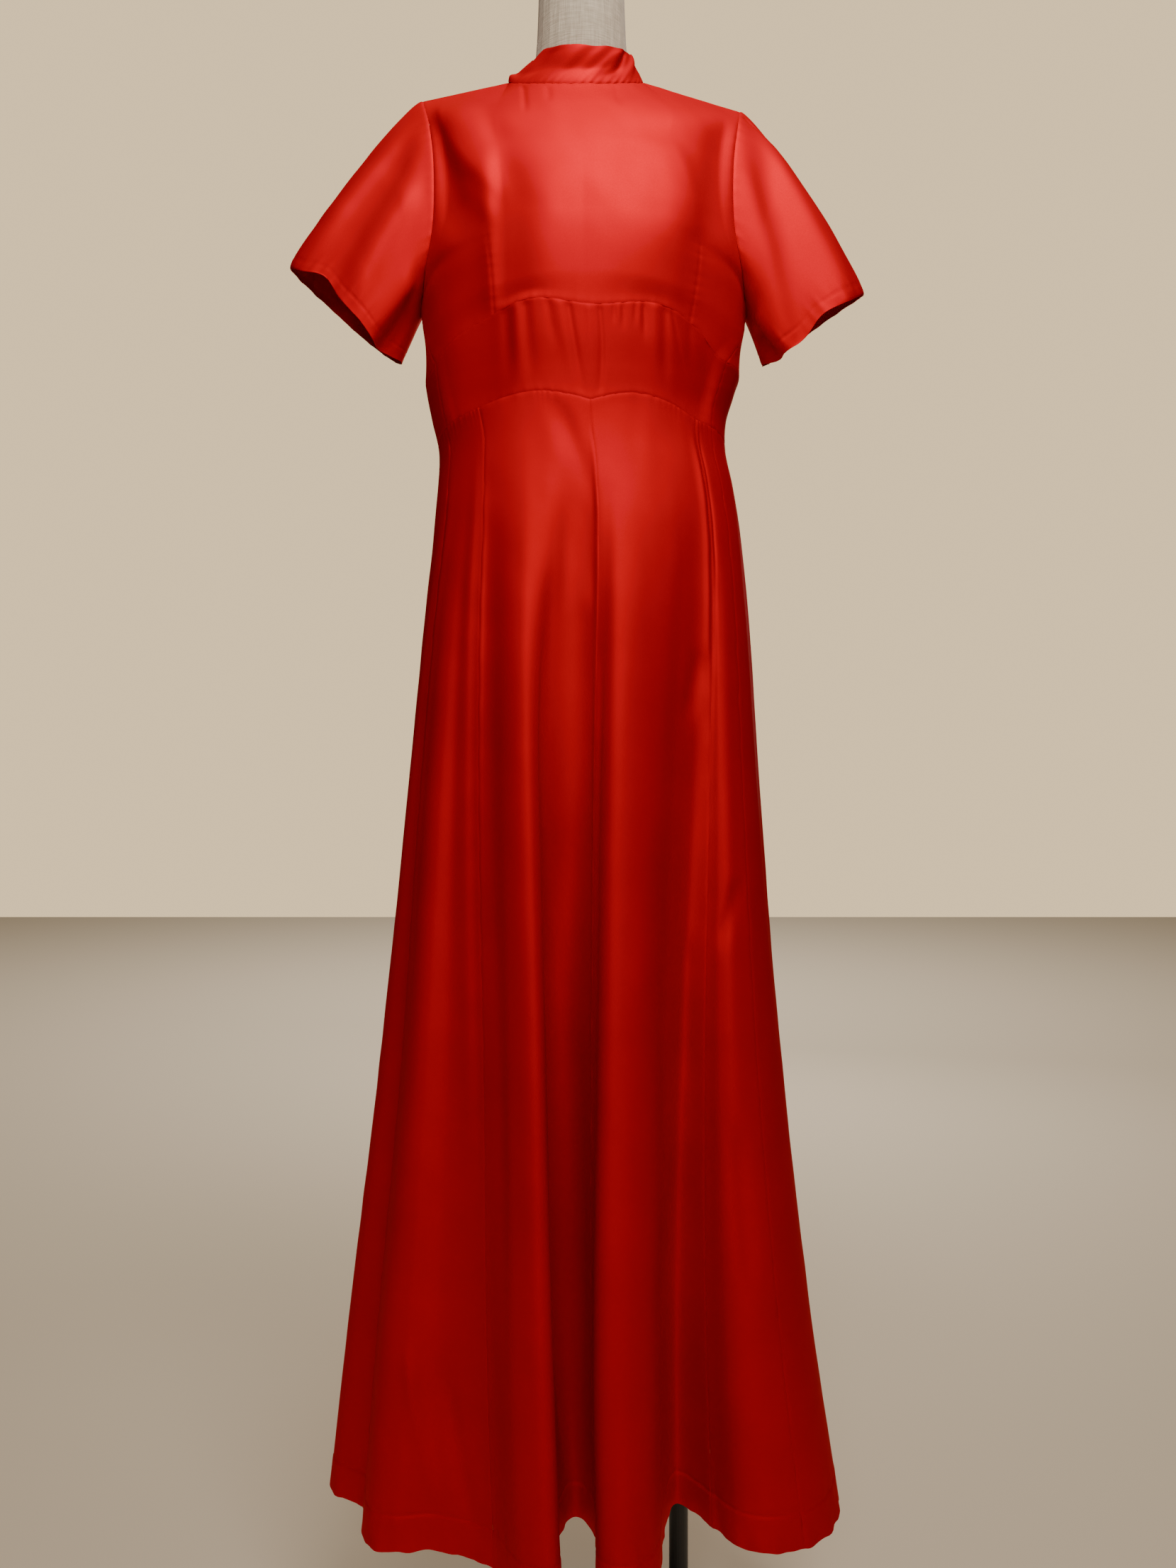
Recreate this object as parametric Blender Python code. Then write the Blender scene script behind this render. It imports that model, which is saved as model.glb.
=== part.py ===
"""Floor-length satin dress with a soft stand collar and short sleeves, on its dress form.

Metres, +Z up. The dress faces -Y and +X is on the viewer's right, so "left" and "right" below are the
viewer's. The origin is the centre of the base plate's underside. Angles around the figure are in
degrees: 0 at the front, 90 at +X, 180 at the back.
"""

import math

import bmesh
import bpy
from mathutils import Vector

# Driving dimensions
CLOTH = 0.0014  # thickness of a cloth wall
SEAM_GAP = 0.0006  # space left between two pieces along a seam
HEM_HEIGHT = 0.240
SHOULDER_TIP_LEFT = Vector((-0.1847, 0.0, 1.8470))
SHOULDER_TIP_RIGHT = Vector((0.1811, 0.0, 1.8349))
NECKLINE_MIDDLE = Vector((-0.0075, -0.002, 1.8677))
NECKLINE_HALF_WIDTH = 0.078
NECKLINE_REACH = 0.056  # front and back of its middle
NECKLINE_DROP = 0.034  # the front of the neckline lies this far below its sides
NECKLINE_LIFT = 0.012  # the back lies this far above them
NECK_SHARE = 0.50  # share of a bodice panel's top edge that is neckline
TORSO_BOTTOM = 1.080
POLE_MIDDLE = Vector((0.1130, 0.0300, 0.0))
POLE_RADIUS = 0.0112
BASE_RADIUS = 0.190
BASE_THICKNESS = 0.008
FLANGE_RADIUS = 0.040
FLANGE_THICKNESS = 0.012
SLIDER_HEIGHT = 1.8450  # middle of the zip's slider
SLIDER_LIFT = 0.0004  # clear space between the slider and the cloth
TAB_LENGTH = 0.0260

# Sizes of the dressed figure. Columns: height, reach to -X, reach to +X, reach to the front, reach to the back
FIGURE = (
    (0.240, 0.2954, 0.2942, 0.118, 0.150),
    (0.460, 0.2708, 0.2614, 0.120, 0.146),
    (0.750, 0.2355, 0.2286, 0.122, 0.140),
    (1.050, 0.2068, 0.2057, 0.122, 0.134),
    (1.240, 0.1863, 0.1934, 0.118, 0.126),
    (1.340, 0.1732, 0.1835, 0.110, 0.110),
    (1.400, 0.1670, 0.1730, 0.103, 0.092),
    (1.440, 0.1658, 0.1645, 0.099, 0.082),
    (1.475, 0.1735, 0.1655, 0.100, 0.079),
    (1.505, 0.1797, 0.1745, 0.105, 0.080),
    (1.540, 0.1838, 0.1850, 0.113, 0.084),
    (1.600, 0.1870, 0.1900, 0.124, 0.090),
)

# Seam between the bodice and the midriff band. Columns: angle, height
UNDERBUST_SEAM = (
    (-180, 1.5150),
    (-110, 1.5170),
    (-68, 1.5220),
    (-51, 1.5460),
    (-33, 1.5620),
    (-17, 1.5732),
    (3, 1.5656),
    (24, 1.5700),
    (40, 1.5565),
    (57, 1.5290),
    (70, 1.5270),
    (110, 1.5170),
    (180, 1.5150),
)

# Seam between the midriff band and the skirt. Columns: angle, height
WAIST_SEAM = (
    (-180, 1.4400),
    (-110, 1.4440),
    (-82, 1.4480),
    (-61, 1.4587),
    (-40.5, 1.4690),
    (-26, 1.4775),
    (-15.5, 1.4803),
    (-8, 1.4785),
    (0, 1.4737),
    (4, 1.4706),
    (8, 1.4732),
    (15, 1.4776),
    (23, 1.4790),
    (36, 1.4725),
    (50, 1.4600),
    (62, 1.4560),
    (82, 1.4490),
    (110, 1.4440),
    (180, 1.4400),
)

# Plan of the hem, around the figure. Columns: angle at the waist, x, y, seam that ends there
HEM_PLAN = (
    (-64, -0.2480, -0.0310, "side_left"),
    (-60, -0.2434, -0.0614, ""),
    (-56, -0.2310, -0.0980, ""),
    (-51, -0.2010, -0.1100, ""),
    (-46, -0.1550, -0.1070, ""),
    (-40.5, -0.0925, -0.1350, "princess_left"),
    (-29, -0.0600, -0.1870, ""),
    (-18, -0.0250, -0.1900, ""),
    (-11, -0.0270, -0.0920, ""),
    (-4, -0.0080, -0.0500, ""),
    (4, 0.0140, -0.0860, "centre_front"),
    (11, 0.0175, -0.1720, ""),
    (20, 0.0440, -0.1940, ""),
    (30, 0.0765, -0.1640, ""),
    (37, 0.0880, -0.0820, ""),
    (43, 0.1070, -0.0240, ""),
    (50, 0.1430, -0.0660, "princess_right"),
    (53, 0.1680, -0.1000, ""),
    (57, 0.2000, -0.1115, ""),
    (62, 0.2380, -0.1030, "side_right"),
    (70, 0.2680, -0.0800, ""),
    (80, 0.2870, -0.0420, ""),
    (90, 0.2940, 0.0040, ""),
    (101, 0.2880, 0.0520, ""),
    (112, 0.2620, 0.1050, ""),
    (121, 0.2140, 0.1220, ""),
    (130, 0.1760, 0.1650, "back_right"),
    (140, 0.1400, 0.2120, ""),
    (151, 0.0980, 0.1980, ""),
    (160, 0.0800, 0.1320, ""),
    (170, 0.0500, 0.1080, ""),
    (180, 0.0080, 0.1500, "centre_back"),
    (190, -0.0220, 0.2120, ""),
    (201, -0.0660, 0.2220, ""),
    (211, -0.0980, 0.1650, ""),
    (220, -0.1200, 0.1120, ""),
    (231, -0.1560, 0.1400, "back_left"),
    (241, -0.1900, 0.1980, ""),
    (252, -0.2360, 0.1720, ""),
    (263, -0.2680, 0.1150, ""),
    (273, -0.2720, 0.0660, ""),
    (283, -0.2940, 0.0280, ""),
    (291, -0.2880, -0.0040, ""),
)
FOLD_START = 0.06  # share of the skirt's length at which the folds begin
FOLD_GROWTH = 1.20  # power at which they deepen toward the hem

# Gores of the skirt, each between two seams of the hem plan
GORES = (
    ("skirt_front_side_left", "side_left", "princess_left"),
    ("skirt_front_centre_left", "princess_left", "centre_front"),
    ("skirt_front_centre_right", "centre_front", "princess_right"),
    ("skirt_front_side_right", "princess_right", "side_right"),
    ("skirt_back_side_right", "side_right", "back_right"),
    ("skirt_back_centre_right", "back_right", "centre_back"),
    ("skirt_back_centre_left", "centre_back", "back_left"),
    ("skirt_back_side_left", "back_left", "side_left"),
)
SIDE_LEFT = -64
SIDE_RIGHT = 62

# Sections of the bodice between its lower seam and its top edge. Columns: height at the middle, height at
# the edge, half width, y at the middle, y at the edge, angle that the section spans to each side
FRONT_SECTIONS = (
    (1.600, 1.560, 0.1790, -0.121, -0.028, 76),
    (1.635, 1.597, 0.1880, -0.122, 0.000, 88),
    (1.665, 1.632, 0.1770, -0.1205, -0.046, 68),
    (1.705, 1.680, 0.1670, -0.1145, -0.058, 58),
    (1.755, 1.745, 0.1670, -0.100, -0.052, 52),
    (1.800, 1.800, 0.1740, -0.079, -0.033, 50),
)
BACK_SECTIONS = (
    (1.590, 1.560, 0.1790, 0.088, -0.028, 100),
    (1.630, 1.597, 0.1880, 0.095, 0.000, 88),
    (1.670, 1.632, 0.1810, 0.100, 0.040, 68),
    (1.715, 1.680, 0.1720, 0.103, 0.058, 58),
    (1.765, 1.745, 0.1690, 0.098, 0.056, 52),
    (1.815, 1.800, 0.1740, 0.076, 0.034, 50),
)
UNDERARM = 2  # the section at whose ends the armholes begin
TOP = len(FRONT_SECTIONS) + 1  # the top edge, counted in sections
BUST_X = 0.088
BUST_HEIGHT = 1.640
BUST_RADIUS = 0.070
BUST_RISE = 0.007

# Collar. Columns: share of its height, half width, reach to the front, reach to the back, middle x
COLLAR = (
    (0.00, 0.0775, 0.0560, 0.0560, -0.0075),
    (0.45, 0.0680, 0.0580, 0.0570, -0.0050),
    (1.00, 0.0560, 0.0550, 0.0560, -0.0010),
)
COLLAR_HEIGHT = 0.0450
COLLAR_CLOTH = 0.0020
COLLAR_SLIT = 2.0  # degrees left open at the centre back, where the collar fastens

# Sleeves. Columns: side, outer corner of the cuff, inner corner of the cuff
SLEEVES = (
    ("left", -1, Vector((-0.3323, -0.008, 1.6487)), Vector((-0.2084, -0.008, 1.5430))),
    ("right", 1, Vector((0.3188, -0.008, 1.6184)), Vector((0.2070, -0.008, 1.5400))),
)
CUFF_DEPTH = 0.052  # half the cuff's depth, front to back
CAP_RISE = 0.0125  # how far the top of the sleeve stands out from the straight line to its cuff

# Dress form. Columns: height, clearance between the form and the figure's outer sizes
FORM_CLEARANCE = (
    (1.080, 0.030),
    (1.140, 0.025),
    (1.200, 0.019),
    (1.270, 0.013),
    (1.340, 0.011),
    (1.400, 0.0095),
    (1.440, 0.0090),
)
FORM_CHEST_CLEARANCE = 0.0105
FORM_SHOULDER_CLEARANCE = CLOTH + 0.0008
FORM_ARM_INSET = 0.005  # how far the arm plates lie inside the armholes

# Neck of the form. Columns: height at the sides, half width, half depth, how far the front is lower
NECK = (
    (1.868, 0.0640, 0.0490, 0.032),
    (1.876, 0.0575, 0.0490, 0.026),
    (1.890, 0.0535, 0.0488, 0.016),
    (1.912, 0.0515, 0.0490, 0.006),
    (1.940, 0.0503, 0.0485, 0.0),
    (1.978, 0.0490, 0.0475, 0.0),
    (1.985, 0.0470, 0.0455, 0.0),
)
NECK_X = -0.0015

# Mesh density
SKIRT_COLUMNS_PER_ROW = 2
SKIRT_ROWS = 12
BODICE_COLUMNS = 24
ROWS_PER_SECTION = 3  # of the bodice; the sleeves have the same spacing around their armholes
BAND_ROWS = 5
SLEEVE_ROWS = 6
COLLAR_COLUMNS = 40
COLLAR_ROWS = 4
POLE_SIDES = 24
BASE_SIDES = 64


def clear_scene():
    for item in list(bpy.data.objects):
        bpy.data.objects.remove(item, do_unlink=True)


def make_material(name, colour, roughness, metallic=0.0):
    material = bpy.data.materials.new(name)
    material.use_nodes = True
    shader = material.node_tree.nodes["Principled BSDF"]
    shader.inputs["Base Color"].default_value = (*colour, 1.0)
    shader.inputs["Roughness"].default_value = roughness
    shader.inputs["Metallic"].default_value = metallic
    material.diffuse_color = (*colour, 1.0)
    return material


def mix(a, b, share):
    return a + (b - a) * share


def hermite(a, b, slope_a, slope_b, share):
    """Cubic between a and b; the slopes are per unit of share."""
    s2 = share * share
    s3 = s2 * share
    near = (2 * s3 - 3 * s2 + 1) * a + (s3 - 2 * s2 + share) * slope_a
    far = (3 * s2 - 2 * s3) * b + (s3 - s2) * slope_b
    return near + far


def follow(table, key, column):
    """Value of a column of a table at a key between its rows, on a smooth curve through the rows."""
    last = len(table) - 1
    if key <= table[0][0]:
        return table[0][column]
    if key >= table[last][0]:
        return table[last][column]
    row = max(i for i in range(last) if table[i][0] <= key)

    def slope(i):
        low, high = max(i - 1, 0), min(i + 1, last)
        return (table[high][column] - table[low][column]) / (table[high][0] - table[low][0])

    width = table[row + 1][0] - table[row][0]
    share = (key - table[row][0]) / width
    return hermite(
        table[row][column], table[row + 1][column], slope(row) * width, slope(row + 1) * width, share
    )


def through(points, position, corner, sharpness):
    """Point at a position, counted in points, on a smooth open curve through the points.

    At the point numbered corner the curve bends more freely, up to a true corner at sharpness 1.
    """
    last = len(points) - 1
    row = min(max(int(math.floor(position)), 0), last - 1)
    a, b = points[row], points[row + 1]
    before = points[row - 1] if row > 0 else a * 2 - b
    after = points[row + 2] if row + 2 <= last else b * 2 - a
    slope_a, slope_b = (b - before) / 2, (after - a) / 2
    if row == corner:
        slope_a = mix(slope_a, b - a, sharpness)
    if row + 1 == corner:
        slope_b = mix(slope_b, b - a, sharpness)
    return hermite(a, b, slope_a, slope_b, position - row)


def half_turn(angle):
    """The same direction between -180 and 180 degrees."""
    return (angle + 180) % 360 - 180


def figure(height, angle):
    """Point of the dressed figure, without folds, at a height and an angle around it."""
    turn = math.radians(angle)
    left, right = follow(FIGURE, height, 1), follow(FIGURE, height, 2)
    front, back = follow(FIGURE, height, 3), follow(FIGURE, height, 4)
    depth = front if math.cos(turn) > 0 else back
    x = (right - left) / 2 + (right + left) / 2 * math.sin(turn)
    return Vector((x, -depth * math.cos(turn), height))


def figure_inward(height, angle):
    """Horizontal unit vector from the figure's surface toward its inside."""
    step = 0.5
    along = figure(height, angle + step) - figure(height, angle - step)
    return Vector((-along.y, along.x, 0)).normalized()


def underbust(angle):
    return follow(UNDERBUST_SEAM, half_turn(angle), 1)


def waist(angle):
    return follow(WAIST_SEAM, half_turn(angle), 1)


def hem_row(position):
    """Angle, x and y of the hem plan at a position counted in its rows, around the whole hem."""
    count = len(HEM_PLAN)
    row = int(math.floor(position))

    def entry(i):
        turns, index = divmod(i, count)
        angle, x, y, _ = HEM_PLAN[index]
        return Vector((angle + 360 * turns, x, y))

    a, b = entry(row), entry(row + 1)
    return hermite(a, b, (b - entry(row - 1)) / 2, (entry(row + 2) - a) / 2, position - row)


def skirt(position, share):
    """Point of the skirt under a position of the hem plan, at a share of the way down."""
    angle, hem_x, hem_y = hem_row(position)
    height = mix(waist(angle), HEM_HEIGHT, share)
    fold = max(0.0, (share - FOLD_START) / (1 - FOLD_START)) ** FOLD_GROWTH
    unfolded = figure(HEM_HEIGHT, angle)
    point = figure(height, angle)
    point.x += fold * (hem_x - unfolded.x)
    point.y += fold * (hem_y - unfolded.y)
    return point


def skirt_inward(position, share):
    step = 0.1
    along = skirt(position + step, share) - skirt(position - step, share)
    return Vector((-along.y, along.x, 0)).normalized()


def neckline(angle):
    """Point of the seam between the bodice and the collar; the angle is around the neck, 0 in front."""
    turn = math.radians(angle)
    forward = math.cos(turn)
    x = NECKLINE_MIDDLE.x + NECKLINE_HALF_WIDTH * math.sin(turn)
    y = NECKLINE_MIDDLE.y - NECKLINE_REACH * forward
    rise = -NECKLINE_DROP * forward if forward > 0 else -NECKLINE_LIFT * forward
    return Vector((x, y, NECKLINE_MIDDLE.z + rise))


def top_edge(across, front):
    """Top edge of the bodice: across runs from -1 at the left shoulder tip to 1 at the right one."""
    side = 1 if across > 0 else -1
    reach = abs(across)
    if reach < NECK_SHARE:
        turn = 90 * reach / NECK_SHARE
        return neckline(side * (turn if front else 180 - turn))
    tip = SHOULDER_TIP_RIGHT if side > 0 else SHOULDER_TIP_LEFT
    return mix(neckline(side * 90), tip, (reach - NECK_SHARE) / (1 - NECK_SHARE))


def panel_angle(across, front):
    """Angle around the figure at the lower seam of a bodice panel."""
    if front:
        return mix(SIDE_LEFT, SIDE_RIGHT, (across + 1) / 2)
    if across > 0:
        return 180 - across * (180 - SIDE_RIGHT)
    return -180 - across * (180 + SIDE_LEFT)


def bodice(across, row, front):
    """Point of the bodice; the row runs from 0 at the lower seam to TOP at the top edge."""
    angle = panel_angle(across, front)
    points = [figure(underbust(angle), angle)]
    middle_x = 0.001
    for middle_z, edge_z, half_width, middle_y, edge_y, spread in FRONT_SECTIONS if front else BACK_SECTIONS:
        turn = math.radians(spread)
        x = middle_x + half_width * math.sin(across * turn) / math.sin(turn)
        bow = (1 - math.cos(across * turn)) / (1 - math.cos(turn))
        points.append(Vector((x, mix(middle_y, edge_y, bow), mix(middle_z, edge_z, across * across))))
    points.append(top_edge(across, front))
    point = through(points, row, UNDERARM, across**8)
    if front:
        away = math.hypot(abs(point.x - middle_x) - BUST_X, point.z - BUST_HEIGHT) / BUST_RADIUS
        risen = min(1.0, row)
        rise = BUST_RISE * (3 - 2 * risen) * risen * risen * (1 - across**4)
        point.y -= rise * math.exp(-away * away)
    return point


def bodice_inward(across, row, front):
    """Unit vector into the wall of a bodice panel, from the slopes of its surface."""
    step = 0.01
    left, right = max(across - step, -1), min(across + step, 1)
    low, high = max(row - step, 0), min(row + step, TOP)
    if row < step:
        angle = panel_angle(across, front)
        return figure_inward(underbust(angle), angle)
    sideways = bodice(right, row, front) - bodice(left, row, front)
    upward = bodice(across, high, front) - bodice(across, low, front)
    inward = upward.cross(sideways).normalized()
    return inward if front else -inward


def armhole(turn):
    """Row and panel of the bodice at a share of the way around an armhole: front, shoulder, back."""
    if turn <= 0.5:
        return mix(UNDERARM, TOP, turn * 2), True
    return mix(TOP, UNDERARM, turn * 2 - 1), False


def cuff(side_row, turn):
    """Point of the cuff's edge: inner corner, front, outer corner, back."""
    _, _, outer, inner = side_row
    angle = math.tau * turn
    return (
        (outer + inner) / 2
        - (outer - inner) / 2 * math.cos(angle)
        + Vector((0, -CUFF_DEPTH * math.sin(angle), 0))
    )


def sleeve(side_row, turn, share):
    """Point of a sleeve at a share of the way around it and a share of its length."""
    side = side_row[1]
    row, front = armhole(turn)
    start = bodice(side, row, front)
    rise = CAP_RISE * math.sqrt(max(0.0, 4 * share * (1 - share))) * math.sin(math.pi * turn) ** 2
    outward = Vector((0.8 * side, 0, 0.6))
    return mix(start, cuff(side_row, turn), share) + outward * rise


def sleeve_inward(side_row, turn, share):
    step = 0.01
    near, far = max(share, step) - step, min(share, 1 - step) + step
    around = sleeve(side_row, (turn + step) % 1, share) - sleeve(side_row, (turn - step) % 1, share)
    along = sleeve(side_row, turn, far) - sleeve(side_row, turn, near)
    return around.cross(along).normalized() * side_row[1]


def seam_inward(side_row, row, front):
    """Direction that both pieces of an armhole or side seam share, so that their edges never cross."""
    side = side_row[1]
    if row == TOP:
        return Vector((0, 0, -1))
    here = bodice_inward(side, row, front)
    if row <= UNDERARM:
        both = (here + bodice_inward(side, row, not front)).normalized()
        return both if row < UNDERARM else (both + sleeve_inward(side_row, 0.0, 0.0)).normalized()
    half = 0.5 * (row - UNDERARM) / (TOP - UNDERARM)
    return (here + sleeve_inward(side_row, half if front else 1 - half, 0.0)).normalized()


def pull_edges(grid, sides, ends):
    """Moves a grid's outer columns and rows inward by half a seam gap."""
    pulled = [[point.copy() for point in row] for row in grid]
    half = SEAM_GAP / 2
    if sides:
        for row, source in zip(pulled, grid):
            row[0] += (source[1] - source[0]).normalized() * half
            row[-1] += (source[-2] - source[-1]).normalized() * half
    for low, high in ((0, 1), (-1, -2)):
        if low in ends:
            for column in range(len(grid[0])):
                pulled[low][column] += (grid[high][column] - grid[low][column]).normalized() * half
    return pulled


def add_mesh(name, vertices, faces, material, smooth_angle=40):
    mesh = bpy.data.meshes.new(name)
    mesh.from_pydata([tuple(v) for v in vertices], [], faces)
    work = bmesh.new()
    work.from_mesh(mesh)
    bmesh.ops.recalc_face_normals(work, faces=work.faces)
    bmesh.ops.triangulate(work, faces=work.faces)
    work.to_mesh(mesh)
    work.free()
    mesh.shade_smooth()
    mesh.set_sharp_from_angle(angle=math.radians(smooth_angle))
    mesh.materials.append(material)
    item = bpy.data.objects.new(name, mesh)
    bpy.context.collection.objects.link(item)
    return item


def add_wall(name, outer, inner, material, closed=False):
    """Closed wall between two grids of points; a closed one also joins its last column to its first."""
    rows, columns = len(outer), len(outer[0])
    vertices = [point for grid in (outer, inner) for row in grid for point in row]
    offset = rows * columns

    def outside(row, column):
        return row * columns + column % columns

    def inside(row, column):
        return offset + row * columns + column % columns

    faces = []
    spans = columns if closed else columns - 1
    for row in range(rows - 1):
        for column in range(spans):
            for at, flip in ((outside, False), (inside, True)):
                face = [at(row, column), at(row, column + 1), at(row + 1, column + 1), at(row + 1, column)]
                faces.append(face[::-1] if flip else face)
    for row in (0, rows - 1):
        for column in range(spans):
            face = [outside(row, column), outside(row, column + 1), inside(row, column + 1), inside(row, column)]
            faces.append(face if row else face[::-1])
    if not closed:
        for column in (0, columns - 1):
            for row in range(rows - 1):
                face = [outside(row, column), outside(row + 1, column), inside(row + 1, column), inside(row, column)]
                faces.append(face[::-1] if column else face)
    return add_mesh(name, vertices, faces, material)


def offset_grid(outer, directions, distance):
    return [[p + d * distance for p, d in zip(*rows)] for rows in zip(outer, directions)]


def spread(first, last, count):
    return [first + (last - first) * i / count for i in range(count + 1)]


def build_skirt(material):
    """Eight gores, one flared cloth wall each, with the folds that run from the hips to the hem."""
    seams = {row[3]: index for index, row in enumerate(HEM_PLAN) if row[3]}
    count = len(HEM_PLAN)
    for name, start, end in GORES:
        first, last = seams[start], seams[end]
        if last <= first:
            last += count
        columns = spread(first, last, (last - first) * SKIRT_COLUMNS_PER_ROW)
        rows = spread(0.0, 1.0, SKIRT_ROWS)
        outer = [[skirt(c, r) for c in columns] for r in rows]
        directions = [[skirt_inward(c, r) for c in columns] for r in rows]
        outer = pull_edges(outer, True, (0,))
        add_wall(name, outer, offset_grid(outer, directions, CLOTH), material)


def build_midriff(material):
    """The shaped band between the bodice and the skirt: one front piece and two back pieces."""
    pieces = (
        ("midriff_front", SIDE_LEFT, SIDE_RIGHT, BODICE_COLUMNS),
        ("midriff_back_right", SIDE_RIGHT, 180, BODICE_COLUMNS // 2),
        ("midriff_back_left", 180, 360 + SIDE_LEFT, BODICE_COLUMNS // 2),
    )
    for name, first, last, count in pieces:
        columns = spread(first, last, count)
        outer, directions = [], []
        for share in spread(0.0, 1.0, BAND_ROWS):
            heights = [mix(waist(a), underbust(a), share) for a in columns]
            outer.append([figure(h, a) for h, a in zip(heights, columns)])
            directions.append([figure_inward(h, a) for h, a in zip(heights, columns)])
        outer = pull_edges(outer, True, (0, -1))
        add_wall(name, outer, offset_grid(outer, directions, CLOTH), material)


def panel_grid(columns, rows, front):
    """Points and wall directions of a bodice panel."""
    sides = {side_row[1]: side_row for side_row in SLEEVES}
    outer = [[bodice(c, r, front) for c in columns] for r in rows]
    directions = []
    for r in rows:
        line = []
        for c in columns:
            if abs(c) == 1:
                line.append(seam_inward(sides[int(c)], r, front))
            elif r == TOP and abs(c) >= NECK_SHARE:
                line.append(Vector((0, 0, -1)))
            else:
                line.append(bodice_inward(c, r, front))
        directions.append(line)
    return outer, directions


def build_bodice(material):
    rows = spread(0.0, TOP, TOP * ROWS_PER_SECTION)
    pieces = (
        ("bodice_front", -1, 1, BODICE_COLUMNS, True),
        ("bodice_back_left", -1, 0, BODICE_COLUMNS // 2, False),
        ("bodice_back_right", 0, 1, BODICE_COLUMNS // 2, False),
    )
    for name, first, last, count, front in pieces:
        outer, directions = panel_grid(spread(first, last, count), rows, front)
        outer = pull_edges(outer, True, (0, -1))
        add_wall(name, outer, offset_grid(outer, directions, CLOTH), material)


def build_sleeves(material):
    for side_row in SLEEVES:
        count = 2 * ROWS_PER_SECTION * (TOP - UNDERARM)
        columns = [i / count for i in range(count)]
        rows = spread(0.0, 1.0, SLEEVE_ROWS)
        outer = [[sleeve(side_row, c, r) for c in columns] for r in rows]
        directions = [[sleeve_inward(side_row, c, r) for c in columns] for r in rows]
        directions[0] = [seam_inward(side_row, *armhole(c)) for c in columns]
        outer = pull_edges(outer, False, (0,))
        inner = offset_grid(outer, directions, CLOTH)
        add_wall(f"sleeve_{side_row[0]}", outer, inner, material, closed=True)


def collar(angle, share):
    """Point of the collar's outer face, above the neckline."""
    turn = math.radians(angle)
    base = neckline(angle)
    half_width, middle_x = follow(COLLAR, share, 1), follow(COLLAR, share, 4)
    reach = follow(COLLAR, share, 2 if math.cos(turn) > 0 else 3)
    x = middle_x + half_width * math.sin(turn)
    y = NECKLINE_MIDDLE.y - reach * math.cos(turn)
    side_drop = 0.020 * math.sin(turn) ** 2
    return Vector((x, y, base.z + SEAM_GAP + share * (COLLAR_HEIGHT - side_drop)))


def build_collar(material):
    columns = spread(-180 + COLLAR_SLIT / 2, 180 - COLLAR_SLIT / 2, COLLAR_COLUMNS)
    outer = [[collar(c, r) for c in columns] for r in spread(0.0, 1.0, COLLAR_ROWS)]
    directions = []
    for c in columns:
        along = neckline(c + 1) - neckline(c - 1)
        directions.append(Vector((-along.y, along.x, 0)).normalized())
    inner = offset_grid(outer, [directions] * len(outer), COLLAR_CLOTH)
    add_wall("collar", outer, inner, material)


def torso_columns():
    """Places around the form: across the front, then across the back, without a double point at the sides."""
    front = [(c, True) for c in spread(-1, 1, BODICE_COLUMNS)]
    back = [(max(min(c, 0.98), -0.98), False) for c in spread(1, -1, BODICE_COLUMNS)]
    return front + back


def torso_rings():
    """Rings of the form's body, a little inside the dress, from its flat underside to the shoulders."""
    places = torso_columns()
    rings = []
    for height, clearance in FORM_CLEARANCE:
        angles = [panel_angle(c, front) for c, front in places]
        rings.append([figure(height, a) + figure_inward(height, a) * clearance for a in angles])
    for share in (0.08, 0.35, 0.7):
        ring = []
        for c, front in places:
            angle = panel_angle(c, front)
            height = mix(waist(angle), underbust(angle), share)
            ring.append(figure(height, angle) + figure_inward(height, angle) * FORM_CHEST_CLEARANCE)
        rings.append(ring)
    last_row = TOP - 1 / ROWS_PER_SECTION
    rows = spread(0.0, 5.0, 10) + spread(5.0, last_row, ROWS_PER_SECTION + 2)[1:]
    for row in rows + [TOP]:
        nearly_top = min(1.0, max(0.0, row - TOP + 1.5))
        clearance = mix(FORM_CHEST_CLEARANCE, FORM_SHOULDER_CLEARANCE, nearly_top)
        ring = []
        for c, front in places:
            point = bodice(c, row, front)
            inward = bodice_inward(c, min(row, last_row), front)
            if row == TOP:
                point = mix(bodice(c, last_row, front), point, 0.8)
            inset = FORM_ARM_INSET * c**5 * min(1.0, row / UNDERARM)
            ring.append(point + inward * clearance - Vector((inset, 0, 0)))
        rings.append(ring)
    return rings


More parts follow.
